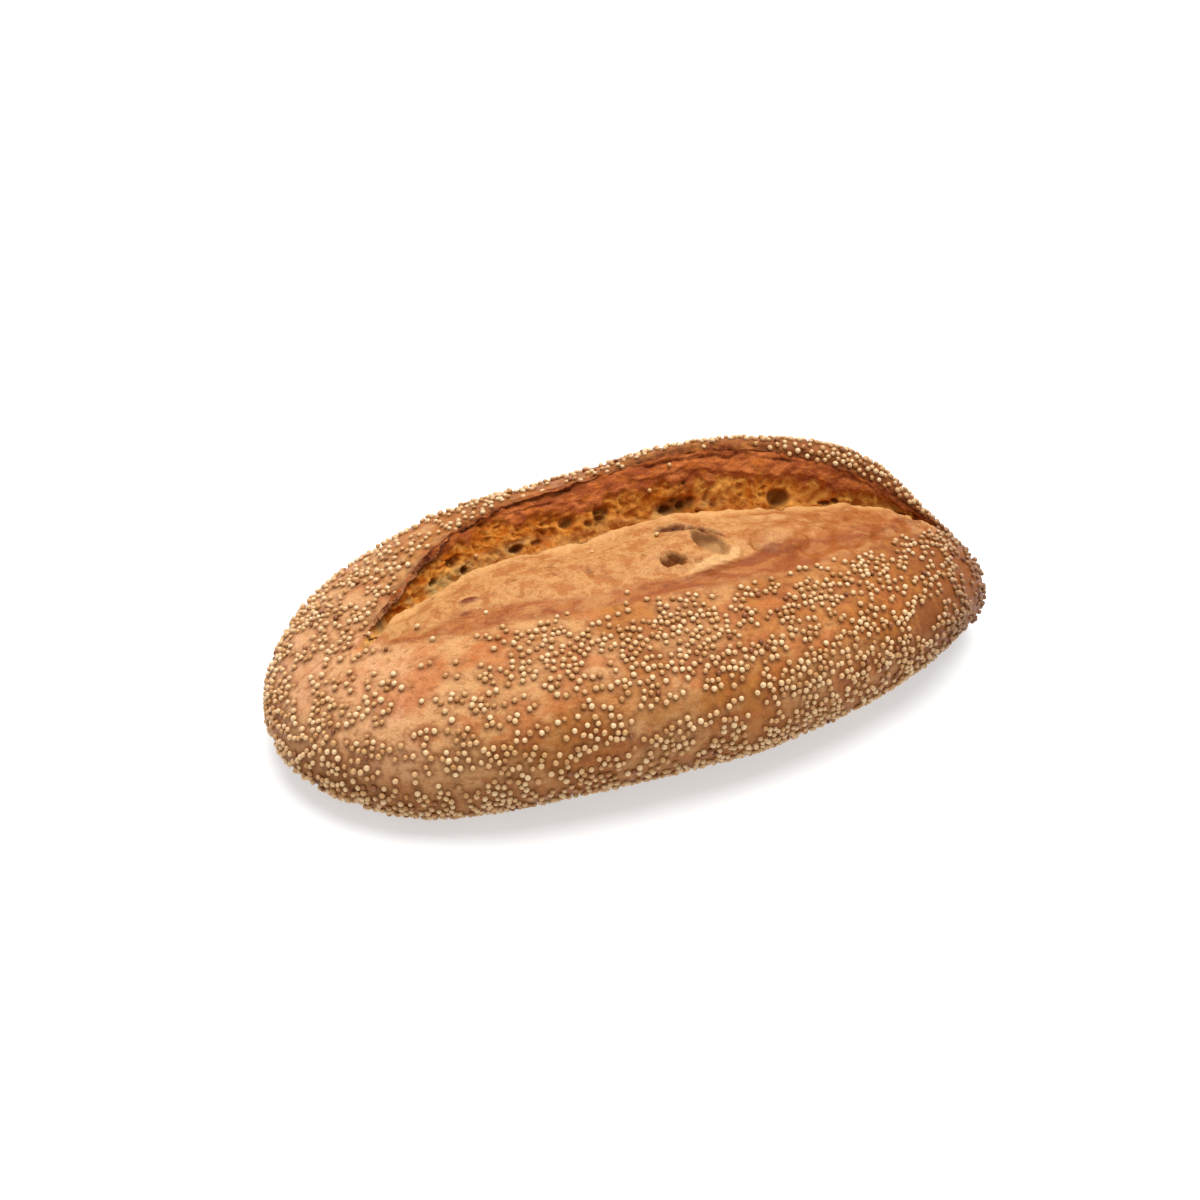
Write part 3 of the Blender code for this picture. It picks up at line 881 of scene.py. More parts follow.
    def shape_lip(self) -> None:
        """Thin ragged lip that curls up in overlapping folds."""
        grid, masks, mm = self.grid, self.masks, self.heights
        score = ease(grid.opening / 0.5)
        left = self.along((-0.74, -0.2, 0.2, 0.5, 0.66, 0.88), (1.0, 1.0, 0.8, 0.55, 0.3, 0.2))
        ragged = grid.ripple(51, (7.0, 14.0, 4.4), 5)
        patchy = ease(0.5 + 1.5 * grid.ripple(53, (11.0, 60.0, 1.4), 3))
        self.height += hump(self.below_lip, 1.6) * score * (mm.lip_ragged * ragged - mm.lip_sink)
        notch = hump(self.below_lip - 2.6 + 2.0 * ragged, 0.7) * score * patchy
        self.height -= mm.lip_notch * notch
        fold = grid.ripple(52, (16.0, 30.0, 7.4), 4)
        back = self.below_lip + 1.6 + 2.4 * fold
        behind = hump(back, 0.8) * ease(0.4 + 1.8 * fold) * score * left
        curled = mm.lip_curl * hump(back + 1.9, 1.3) * ease(0.4 + 1.8 * fold)
        self.height += score * left * curled - mm.lip_fold * behind
        gash = self.along((-0.76, -0.63, -0.57, -0.52, -0.46, -0.40, -0.36, -0.25, -0.05, 0.2,
                           0.6),
                          (0.0, 1.2, 0.6, -0.2, 1.6, 1.3, 0.2, 2.2, 1.0, 0.6, 0.2))
        strength = self.along((-0.76, -0.68, -0.3, -0.15, 0.1, 0.5, 0.9),
                              (0.6, 1.0, 1.0, 0.7, 0.55, 0.5, 0.3))
        wide = 1.35 * np.clip(1.0 + 1.4 * grid.ripple(54, (6.0, 9.0, 6.6), 4), 0.25, 2.2)
        branch = self.below_lip + gash + 1.3 * grid.ripple(55, (5.5, 8.0, 0.9), 4)
        torn = hump(branch, wide) * strength * score
        self.height -= mm.lip_tear * torn
        crumpled = grid.ripple(56, (3.6, 3.2, 5.3), 4, 0.6)
        near_lip = hump(self.below_lip + 1.0, 3.2)
        self.height += mm.lip_crumple * crumpled * near_lip * score * left
        # painted shade in the fold behind the lip, in its notches and in the torn gash
        dark = np.maximum(behind + 0.7 * notch, 0.95 * torn)
        masks["crease"] = np.clip(np.maximum(masks["crease"], dark), 0.0, 1.0)
        reach = 2.0 * np.clip(1.0 + 1.1 * grid.ripple(15, (7.0, 10.0, 2.2), 4), 0.2, 2.4)
        centre = self.below_lip + 0.9 * left
        behind_it = 1.2 * reach * (0.3 + 0.7 * left)
        lip = np.where(centre > 0.0, hump(centre, reach), hump(centre, behind_it))
        masks["lip"] = np.clip(lip * score * (0.55 + 0.45 * patchy), 0.0, 1.0)

    def lift(self, name: str, values: Array) -> None:
        """Lifts a mask to the given values wherever they are higher."""
        self.masks[name] = np.maximum(self.masks[name], values)

    def lens(self, spot: Spot) -> Array:
        """Round patch on the surface, 1 at its middle and 0 from its rim outwards.

        Args:
            spot: Its place, its half length and half height, and its turn in radians.

        Returns:
            One value per point of the net.
        """
        x = self.x - spot.x
        y = self.around - spot.around
        a = (x * math.cos(spot.turn) + y * math.sin(spot.turn)) / spot.length
        b = (y * math.cos(spot.turn) - x * math.sin(spot.turn)) / spot.height
        return np.clip(1.0 - np.sqrt(a * a + b * b), 0.0, 1.0)

    def cut_spots(self) -> None:
        """Sinks or raises the features that have places of their own."""
        masks = self.masks
        for name in ("hole_shade", "oval", "blister"):
            masks[name] = np.zeros(self.grid.arc.shape)
        wobble = 0.26 * self.grid.lumps(62, 1.9, 3)
        for spot in self.spots.holes:
            lens = self.lens(spot)
            lens = np.clip(lens + wobble * (lens > 0.0), 0.0, 1.0)
            self.height -= spot.depth * ease(lens / 0.5)
            # painted shade: each hole is darkened inside
            self.lift("hole_shade", spot.strength * ramp(lens, 0.05, 0.28))
        for name, kind, edge in (("oval", self.spots.ovals, 0.3),
                                 ("blister", self.spots.blisters, 0.5),
                                 ("pale", self.spots.pale_spots, 0.5)):
            for spot in kind:
                lens = self.lens(spot)
                self.height -= spot.depth * ease(lens / (edge + 0.1))
                self.lift(name, spot.strength * ease(lens / edge))

    def displaced(self) -> Array:
        """Points of the finished surface, in metres.

        Returns:
            The points, in the net's order.
        """
        points = self.grid.points + self.grid.normal * (self.height * MM)[..., None]
        flat = self.grid.points[..., 2] <= 1e-6
        points[..., 2] = np.where(flat, 0.0, np.maximum(points[..., 2], 0.0))
        return points


@dataclass(frozen=True)
class Tint:
    """A colour as it is seen, in 0 to 255 of red, green and blue."""

    red: float
    green: float
    blue: float

    def linear(self) -> tuple[float, float, float, float]:
        """The colour in linear light, with full alpha.

        Returns:
            Red, green, blue and alpha, from 0 to 1.
        """
        values = []
        for value in (self.red / 255.0, self.green / 255.0, self.blue / 255.0):
            values.append(value / 12.92 if value <= 0.04045 else ((value + 0.055) / 1.055) ** 2.4)
        return (values[0], values[1], values[2], 1.0)


class Nodes:
    """Short ways of making and linking the shader nodes that the finishes use."""

    def __init__(self, name: str) -> None:
        """Starts a material with its Principled shader.

        Args:
            name: The material's name.
        """
        self.material = bpy.data.materials.new(name)
        self.material.use_nodes = True
        self.tree = self.material.node_tree
        self.shader = self.tree.nodes["Principled BSDF"]
        coordinates = self.tree.nodes.new("ShaderNodeTexCoord")
        self.place = coordinates.outputs["Object"]

    def set(self, socket: bpy.types.NodeSocket, value: object) -> None:
        """Links a socket to another, or gives it a number or colour.

        Args:
            socket: The input to fill.
            value: A socket, a tint, a number or a tuple of numbers.
        """
        if isinstance(value, bpy.types.NodeSocket):
            self.tree.links.new(value, socket)
        elif isinstance(value, Tint):
            socket.default_value = value.linear()
        else:
            socket.default_value = value

    def finished(self, inputs: dict[str, object]) -> bpy.types.Material:
        """Fills the shader's inputs.

        Args:
            inputs: A socket, a tint, a number or a tuple of numbers for each input's name.

        Returns:
            The material.
        """
        for name, value in inputs.items():
            self.set(self.shader.inputs[name], value)
        return self.material

    def attribute(self, name: str) -> bpy.types.NodeSocket:
        """A number that the mesh holds at each point.

        Args:
            name: The mask's name on the mesh.

        Returns:
            The number's socket.
        """
        node = self.tree.nodes.new("ShaderNodeAttribute")
        node.attribute_name = name
        return node.outputs["Fac"]

    def masked(self, name: str, share: object) -> bpy.types.NodeSocket:
        """A mask of the mesh times a share."""
        return self.math("MULTIPLY", self.attribute(name), share)

    def math(self, operation: str, first: object, second: object = 0.0,
             clamp: bool = False) -> bpy.types.NodeSocket:
        """A sum on one or two numbers.

        Args:
            operation: Blender's name of the operation.
            first: A socket or a number.
            second: A socket or a number.
            clamp: Whether the result is held between 0 and 1.

        Returns:
            The result's socket.
        """
        node = self.tree.nodes.new("ShaderNodeMath")
        node.operation = operation
        node.use_clamp = clamp
        self.set(node.inputs[0], first)
        self.set(node.inputs[1], second)
        return node.outputs[0]

    def remap(self, value: object, low: float, high: float, start: float = 0.0,
              end: float = 1.0) -> bpy.types.NodeSocket:
        """Stretches a number's range smoothly onto another, held at its ends.

        Args:
            value: A socket or a number.
            low: Value that gives start.
            high: Value that gives end.
            start: Result at low.
            end: Result at high.

        Returns:
            The result's socket.
        """
        node = self.tree.nodes.new("ShaderNodeMapRange")
        node.interpolation_type = "SMOOTHSTEP"
        self.set(node.inputs["Value"], value)
        node.inputs["From Min"].default_value = low
        node.inputs["From Max"].default_value = high
        node.inputs["To Min"].default_value = start
        node.inputs["To Max"].default_value = end
        return node.outputs["Result"]

    def noise(self, size: float, detail: float = 3.0, rough: float = 0.55,
              stretch: tuple[float, float, float] = (1.0, 1.0, 1.0)) -> bpy.types.NodeSocket:
        """Noise from 0 to 1 in the object's space.

        Args:
            size: Size of its features, in millimetres.
            detail: Levels of finer detail.
            rough: Strength of the finer levels.
            stretch: How far each axis is drawn out.

        Returns:
            The noise's socket.
        """
        mapping = self.tree.nodes.new("ShaderNodeMapping")
        mapping.inputs["Scale"].default_value = tuple(1.0 / s for s in stretch)
        self.set(mapping.inputs["Vector"], self.place)
        node = self.tree.nodes.new("ShaderNodeTexNoise")
        node.inputs["Scale"].default_value = 1.0 / (size * MM)
        node.inputs["Detail"].default_value = detail
        node.inputs["Roughness"].default_value = rough
        self.set(node.inputs["Vector"], mapping.outputs["Vector"])
        return node.outputs["Fac"]

    def mix(self, share: object, first: object, second: object,
            blend: str = "MIX") -> bpy.types.NodeSocket:
        """Blends two colours.

        Args:
            share: How much of the second shows.
            first: A colour or its socket.
            second: A colour or its socket.
            blend: Blender's name of the blend.

        Returns:
            The mixed colour's socket.
        """
        node = self.tree.nodes.new("ShaderNodeMix")
        node.data_type = "RGBA"
        node.blend_type = blend
        self.set(node.inputs[0], share)
        self.set(node.inputs[6], first)
        self.set(node.inputs[7], second)
        return node.outputs[2]

    def patches(self, noise: tuple[object, ...], low: float, high: float, start: float = 0.0,
                end: float = 1.0) -> bpy.types.NodeSocket:
        """Noise stretched onto a range of shares.

        Args:
            noise: Its size, detail, roughness and stretch, as far as they are given.
            low: Noise that gives start.
            high: Noise that gives end.
            start: Share at low.
            end: Share at high.

        Returns:
            The share's socket.
        """
        return self.remap(self.noise(*noise), low, high, start, end)

    def coats(self, colour: object, *coats: tuple[object, object]) -> bpy.types.NodeSocket:
        """Lays colours over one another.

        Args:
            colour: The colour underneath, or its socket.
            coats: The share of each coat that shows, and its colour.

        Returns:
            The finished colour's socket.
        """
        for share, coat in coats:
            colour = self.mix(share, colour, coat)
        return colour

    def bump(self, height: object, distance: float, strength: float = 1.0,
             normal: bpy.types.NodeSocket | None = None) -> bpy.types.NodeSocket:
        """A finer relief than the mesh holds.

        Args:
            height: A socket with the relief, from 0 to 1.
            distance: How high 1 stands, in millimetres.
            strength: Share of the relief that shows.
            normal: Another relief under this one.

        Returns:
            The normal's socket.
        """
        node = self.tree.nodes.new("ShaderNodeBump")
        node.inputs["Distance"].default_value = distance * MM
        node.inputs["Strength"].default_value = strength
        self.set(node.inputs["Height"], height)
        if normal is not None:
            self.set(node.inputs["Normal"], normal)
        return node.outputs["Normal"]


@dataclass(frozen=True)
class LoafFinish:
    """Baked crust, bloom, torn crumb and dark lip, told apart by the mesh's masks."""

    pale_crust: Tint = Tint(186, 136, 86)
    rosy_crust: Tint = Tint(206, 154, 114)
    golden_crust: Tint = Tint(164, 102, 44)
    brown_crust: Tint = Tint(130, 72, 30)
    red_crust: Tint = Tint(168, 94, 44)
    # painted shade on the lower flank
    low_shade_crust: Tint = Tint(144, 92, 46)
    # painted shade round the seeds
    seed_shade_crust: Tint = Tint(112, 60, 24)
    bloom: Tint = Tint(180, 128, 76)
    bloom_pale: Tint = Tint(204, 158, 104)
    # painted highlight along the bloom's edge
    bloom_edge: Tint = Tint(202, 152, 94)
    bloom_warm: Tint = Tint(158, 95, 46)
    bloom_dusk: Tint = Tint(156, 88, 38)
    band: Tint = Tint(138, 72, 33)
    band_dark: Tint = Tint(108, 50, 22)
    seam: Tint = Tint(134, 68, 30)
    ear_skin: Tint = Tint(178, 101, 52)
    ear_dark: Tint = Tint(142, 70, 36)
    crumb_tan: Tint = Tint(192, 124, 48)
    crumb_orange: Tint = Tint(176, 94, 24)
    crumb_rust: Tint = Tint(152, 76, 22)
    crumb_grey: Tint = Tint(176, 142, 88)
    # painted shade in the crumb's pits and pores
    crumb_shade: Tint = Tint(104, 58, 24)
    # pale strands, with a painted highlight on ridges
    string_and_highlight: Tint = Tint(212, 146, 68)
    # painted shade inside holes, also used for the shade mask
    hole_shade: Tint = Tint(92, 49, 20)
    oval: Tint = Tint(134, 86, 38)
    window: Tint = Tint(154, 110, 66)
    lip: Tint = Tint(106, 48, 26)
    # painted shade in creases, folds and the torn gash
    crease: Tint = Tint(62, 24, 12)
    drawn_out: tuple[float, float, float] = (1.6, 1.0, 1.0)
    streaked: tuple[float, float, float] = (2.6, 1.0, 1.0)
    specular: float = 0.12
    dullest: float = 0.11

    def crust(self, nodes: Nodes) -> bpy.types.NodeSocket:
        """Colour of the crust, patchy from pale gold to brown, with painted shade round the seeds.

        Args:
            nodes: The material's nodes.

        Returns:
            The colour's socket.
        """
        # baking, with painted shade towards the bottom
        bake_and_shade = nodes.masked("bake_and_shade", 0.5)
        golden = nodes.math("ADD", nodes.noise(20.0, 4.0, 0.6), bake_and_shade)
        brown = nodes.math("ADD", nodes.noise(6.5, 5.0, 0.65), bake_and_shade)
        blush = nodes.patches((9.0, 4.0, 0.6, self.drawn_out), 0.49, 0.60, 0.0, 0.65)
        specks = nodes.patches((2.0, 3.0, 0.6, self.drawn_out), 0.52, 0.68, 0.0, 0.5)
        red = nodes.patches((8.0, 3.0), 0.3, 0.6, 0.3, 0.9)
        rosy = nodes.patches((7.0, 4.0, 0.6), 0.30, 0.60, 0.85, 0.35)
        low = nodes.patches((12.0, 3.0), 0.35, 0.6, 0.45, 0.95)
        seed_shade = nodes.patches((3.0, 3.0), 0.3, 0.6, 0.2, 0.62)
        return nodes.coats(
            self.pale_crust,
            (nodes.remap(golden, 0.38, 0.62), self.golden_crust),
            (blush, self.red_crust),
            (nodes.masked("red", red), self.red_crust),
            (nodes.masked("rosy", rosy), self.rosy_crust),
            # painted shade on the lower flank
            (nodes.masked("low", low), self.low_shade_crust),
            (nodes.remap(brown, 0.50, 0.80), self.brown_crust),
            (specks, self.brown_crust),
            # painted shade: the crust darkens round each seed
            (nodes.masked("seed_shade", seed_shade), self.seed_shade_crust))

    def bloom_colour(self, nodes: Nodes) -> bpy.types.NodeSocket:
        """Colour of the smooth bloom with its reddish foot and mottled right end.

        Args:
            nodes: The material's nodes.

        Returns:
            The colour's socket.
        """
        dusk = nodes.patches((5.0, 4.0), 0.35, 0.65, 0.2, 1.0)
        light = nodes.coats(
            self.bloom,
            (nodes.patches((7.0, 6.0, 0.72), 0.46, 0.58, 0.0, 0.9), self.bloom_warm),
            (nodes.patches((1.7, 4.0, 0.6), 0.50, 0.62, 0.0, 0.45), self.bloom_warm),
            (nodes.masked("dusk", dusk), self.bloom_dusk),
            # paler patches, with a painted highlight along the dome's rim
            (nodes.attribute("pale"), self.bloom_pale))
        streaks = nodes.noise(3.6, 5.0, 0.65, self.streaked)
        paler = nodes.patches((7.0, 4.0, 0.6, (1.8, 1.0, 1.0)), 0.48, 0.62, 0.0, 0.6)
        red = nodes.coats(
            self.bloom_warm,
            (nodes.remap(streaks, 0.42, 0.60), self.band),
            (paler, self.bloom),
            (nodes.masked("under", nodes.remap(streaks, 0.40, 0.56, 0.15, 0.95)), self.band),
            (nodes.masked("flake", 0.7), self.band_dark))
        return nodes.coats(
            red,
            (nodes.attribute("light"), light),
            # seams, with a painted shadow under the dome's rim
            (nodes.masked("seam", 0.6), self.seam),
            (nodes.patches((1.5, 3.0, 0.6), 0.56, 0.70, 0.0, 0.5), self.band),
            # painted shade in the pricked pits
            (nodes.masked("prick", 0.7), self.seam),
            (nodes.attribute("blister"), self.band_dark),
            # painted highlight along the bloom's edge
            (nodes.masked("edge", 0.6), self.bloom_edge),
            (nodes.attribute("window"), self.window),
            (nodes.attribute("shade"), self.hole_shade))

    def face_colour(self, nodes: Nodes) -> bpy.types.NodeSocket:
        """Colour of the ear's face: smooth skin above, torn crumb below.

        Args:
            nodes: The material's nodes.

        Returns:
            The colour's socket.
        """
        fine = nodes.patches((1.4, 4.0, 0.65, (1.5, 1.0, 1.0)), 0.48, 0.62, 0.0, 0.55)
        skin = nodes.coats(
            self.ear_skin,
            (nodes.patches((3.0, 5.0, 0.65, self.streaked), 0.42, 0.60), self.ear_dark),
            (nodes.patches((4.0, 5.0, 0.65), 0.52, 0.62, 0.0, 0.55), self.crumb_orange),
            (fine, self.ear_dark))
        rust = nodes.math("ADD", nodes.noise(3.0, 4.0, 0.6), nodes.masked("upper", 0.12))
        crumb = nodes.coats(
            self.crumb_orange,
            (nodes.patches((5.0, 4.0, 0.6), 0.44, 0.62), self.crumb_tan),
            (nodes.remap(rust, 0.50, 0.66, 0.0, 0.85), self.crumb_rust),
            (nodes.attribute("amber"), self.crumb_rust),
            (nodes.attribute("grey"), self.crumb_grey),
            # pale strands, with a painted highlight on the crumb's ridges
            (nodes.masked("string_and_highlight", 0.7), self.string_and_highlight),
            # painted shade in small pores and in the sunk pits
            (nodes.patches((0.9, 2.0), 0.58, 0.72, 0.0, 0.55), self.crumb_shade),
            (nodes.remap(nodes.attribute("pit_shade"), 0.35, 1.0, 0.0, 0.9), self.crumb_shade),
            # paler patches, with painted light on crumb in the ear's shade
            (nodes.masked("pale", 0.8), self.string_and_highlight),
            (nodes.attribute("oval"), self.oval))
        return nodes.mix(nodes.attribute("crumb"), skin, crumb)

    def build(self) -> bpy.types.Material:
        """The loaf's material.

        Returns:
            The material.
        """
        nodes = Nodes("baked_crust")
        frayed = nodes.patches((2.6, 5.0, 0.65), 0.40, 0.56, 0.15, 0.95)
        flecks = nodes.patches((2.4, 5.0, 0.7), 0.40, 0.56, 0.25, 1.0)
        colour = nodes.coats(
            self.crust(nodes),
            (nodes.attribute("bloom"), self.bloom_colour(nodes)),
            (nodes.attribute("inside"), self.face_colour(nodes)),
            (nodes.masked("lip", frayed), self.lip),
            # painted shade in creases and folds
            (nodes.masked("crease", flecks), self.crease),
            # painted shade inside the holes
            (nodes.attribute("hole_shade"), self.hole_shade))
        mottle = nodes.patches((0.7, 3.0), 0.25, 0.75, 0.86, 1.10)
        colour = nodes.mix(1.0, colour, self.grey(nodes, mottle), "MULTIPLY")
        rough = nodes.patches((3.0, 3.0), 0.3, 0.7, 0.42, 0.60)
        rough = nodes.math("ADD", rough, nodes.masked("crumb", 0.2))
        dull = nodes.math("MAXIMUM", nodes.attribute("hole_shade"), nodes.attribute("inside"))
        for name in ("lip", "crease", "shade", "seam"):
            dull = nodes.math("MAXIMUM", dull, nodes.attribute(name))
        dull = nodes.math("MULTIPLY", dull, self.dullest, clamp=True)
        shine = nodes.math("SUBTRACT", self.specular, dull)
        pores = nodes.bump(nodes.noise(1.3, 4.0, 0.6), 0.30, 0.8)
        skin = nodes.bump(nodes.noise(3.4, 5.0, 0.6), 0.85, 0.9, pores)
        return nodes.finished({"Base Color": colour, "Roughness": rough,
                               "Specular IOR Level": shine, "Normal": skin})

    @staticmethod
    def grey(nodes: Nodes, value: bpy.types.NodeSocket) -> bpy.types.NodeSocket:
        """A grey of the given value.

        Args:
            nodes: The material's nodes.
            value: A socket with the value, from 0 to 1.

        Returns:
            The colour's socket.
        """
        node = nodes.tree.nodes.new("ShaderNodeCombineColor")
        for channel in ("Red", "Green", "Blue"):
            nodes.set(node.inputs[channel], value)
        return node.outputs["Color"]


class Loaf:
    """The loaf's body, which stands for the CAD node."""

    def __init__(self, grid: LoafGrid, relief: Relief, finish: LoafFinish) -> None:
        """Keeps the net, its relief and the finish.

        Args:
            grid: The loaf's net.
            relief: Its relief and masks.
            finish: Its finish.
        """
        self.grid = grid
        self.relief = relief
        self.finish = finish
        self.points = relief.displaced()
        self.seed_shade = np.zeros(grid.arc.shape)

    def faces(self) -> list[tuple[int, ...]]:
        """Quads between the sections and a fan round each tip.

        Returns:
            Each face's corners, by number.
        """
        rows, columns = self.grid.arc.shape
        index = np.arange(rows * columns).reshape(rows, columns)
        after = np.roll(index, -1, axis=1)
        quads = np.stack([index[:-1], after[:-1], after[1:], index[1:]], axis=-1).reshape(-1, 4)
        faces = [tuple(quad) for quad in quads[:, ::-1].tolist()]
        first, last = rows * columns, rows * columns + 1
        for k in range(columns):
            faces.append((int(index[0, k]), int(after[0, k]), first))
            faces.append((int(after[-1, k]), int(index[-1, k]), last))
        return faces

    def build(self) -> bpy.types.Object:
        """Makes the mesh, its masks and its material.

        Returns:
            The loaf's object.
        """
        half = 0.5 * self.grid.form.sizes.length
        height = float(self.grid.form.belly(np.array(1.0)))
        tips = np.array([[-half, 0.0, height], [half, 0.0, height]])
        vertices = np.concatenate([self.points.reshape(-1, 3), tips])
        mesh = bpy.data.meshes.new("loaf_body")
        mesh.from_pydata(vertices.tolist(), [], self.faces())
        mesh.shade_smooth()
        at_tips = (0.0, 0.0)
        give_masks(mesh, {name: np.append(values.ravel(), at_tips)
                          for name, values in self.looks().items()})
        mesh.materials.append(self.finish.build())
        return put_in_scene("loaf_body", mesh)

    def looks(self) -> dict[str, Array]:
        """The masks that the material reads, with how far each place is baked, and painted shade
        towards the bottom and at the lower right end.

        Returns:
            One value per point of the net under each mask's name.
        """
        looks = dict(self.relief.masks)
        u = self.grid.u[:, None]
        height = self.relief.height_mm
        # painted shade: the right end's darkening weakens above 34 mm, leaving its lower part
        # darker
        weaker_up_high = 1.0 - 0.45 * ramp(height, 34.0, 14.0)
        bake_and_shade = 0.12 * u + 0.86 * ramp(u, 0.40, 0.5) * weaker_up_high - 0.60 * ramp(u, -0.40, -0.35)
        top = (self.grid.band >= Band.EAR_TOP.value) * (1.0 - ease((np.abs(u) - 0.3) / 0.3))
        bake_and_shade = bake_and_shade + 0.22 * top * ramp(height, 40.0, 10.0)
        bake_and_shade = bake_and_shade + 0.10 * ramp(height, 25.0, 35.0)
        # painted shade: darker towards the bottom
        looks["bake_and_shade"] = bake_and_shade + 0.12 * ramp(height, 20.0, -16.0)
        # painted shade: the lower flank turns olive
        looks["low"] = ramp(height, 30.0, -20.0) * np.ones_like(looks["crumb"])
        # painted shade round the seeds
        looks["seed_shade"] = self.seed_shade
        looks["rosy"] = ramp(-u, 0.57, 0.28) * ramp(height, 12.0, 16.0)
        return looks


@dataclass(frozen=True)
class SeedKind:
    """One kind of quinoa seed, by how far it was toasted."""

    name: str
    share: float
    light: Tint
    warm: Tint
    spot: Tint

    def build(self) -> bpy.types.Material:
        """The kind's material, with a tint of its own for each seed.

        Returns:
            The material.
        """
        nodes = Nodes(self.name)
        colour = nodes.coats(
            self.light,
            (nodes.attribute("tint"), self.warm),
            (nodes.patches((0.7, 2.0), 0.45, 0.75, 0.0, 0.5), self.warm),
            (nodes.masked("ring", 0.5), self.spot),
            # darker towards the lower right end: partly baking, partly painted shade
            (nodes.masked("baked", 0.85), self.spot))
        return nodes.finished({
            "Base Color": colour, "Roughness": 0.42, "Specular IOR Level": 0.4,
            "Subsurface Weight": 0.12, "Subsurface Radius": (1.0, 0.5, 0.25),
            "Subsurface Scale": 0.6 * MM, "Normal": nodes.bump(nodes.noise(0.35, 2.0), 0.05, 0.6)})


class SeedKinds(Enum):
    """The four kinds of seed that lie on the crust."""

    CREAM = SeedKind("quinoa_cream", 0.37,
                     Tint(220, 190, 146), Tint(204, 162, 112), Tint(122, 76, 40))
    PALE = SeedKind("quinoa_pale", 0.37,
                    Tint(210, 176, 128), Tint(192, 144, 92), Tint(116, 70, 36))
    GOLDEN = SeedKind("quinoa_golden", 0.235,
                      Tint(194, 150, 96), Tint(170, 118, 66), Tint(106, 64, 32))
    TOASTED = SeedKind("quinoa_toasted", 0.025,
                       Tint(150, 92, 50), Tint(116, 64, 32), Tint(80, 42, 22))


@dataclass(frozen=True)
class SeedSizes:
    """Sizes of the seeds, in millimetres and in shares of a seed's radius, and how they lie."""

    radius: tuple[float, float] = (0.79, 1.02)
    width: tuple[float, float] = (0.86, 1.0)
    flatness: tuple[float, float] = (0.76, 0.94)
    lift: tuple[float, float] = (0.34, 0.66)
    lean: float = 0.35
    collar: float = 0.05
    collar_width: float = 0.35
    rim_width: float = 0.22
    pole: float = 0.96
    box_margin: float = 1.06
    clearance: float = 0.95
    spacing: float = 1.74
    throws: float = 6.0
    random_seed: int = 7
    fullest: float = 0.985
    tries_for_full: float = 4.2
    cell: float = 2.5
    # reach of the painted shade round each seed, in millimetres
    halo: float = 2.6
    segments: int = 10
    rings: int = 4
    strays: tuple[tuple[float, float], ...] = (
        (-77.1, -22.4), (-79.9, -13.1), (-60.4, -25.2), (-83.8, -29.0), (-81.4, -30.1),
        (-50.8, 14.4), (12.0, 22.2), (20.5, 29.4), (-52.3, 34.6), (-18.4, -10.7), (-17.4, -38.1),
        (3.7, -12.0),
    )


@dataclass(frozen=True)
class SeedBands:
    """Where seeds lie thick or thin.

    Places are shares of the half length and heights millimetres, each with the distance over
    which it comes in. Amounts are shares of the closest packing.
    """

    side_lace: tuple[float, float, int] = (15.0, 5.6, 71)
    end_lace: tuple[float, float, int] = (6.0, 15.0, 81)
    end_turn: tuple[float, float] = (0.60, 0.16)
    end_thinner: tuple[float, float] = (0.74, 0.15)
    left_end: tuple[float, float] = (0.74, 0.2)
    left_barer: tuple[float, float] = (0.58, 0.2)
    left_barer_height: tuple[float, float] = (12.0, 10.0)
    foot_height: tuple[float, float] = (16.0, -12.0)
    back_end: tuple[float, float] = (0.25, 0.2)
    back_height: tuple[float, float] = (40.0, 10.0)
    everywhere: float = 0.030
    in_lace: float = 0.95
    lost_at_end: float = 0.26
    in_clumps: float = 0.05
    at_foot: float = 0.55
    at_left_end: float = 0.34
    at_top_right: float = 0.75
    on_flap: float = 1.1
    beside_bloom: float = 0.40
    bloom_margin: float = 7.0
    lowest: float = 0.9


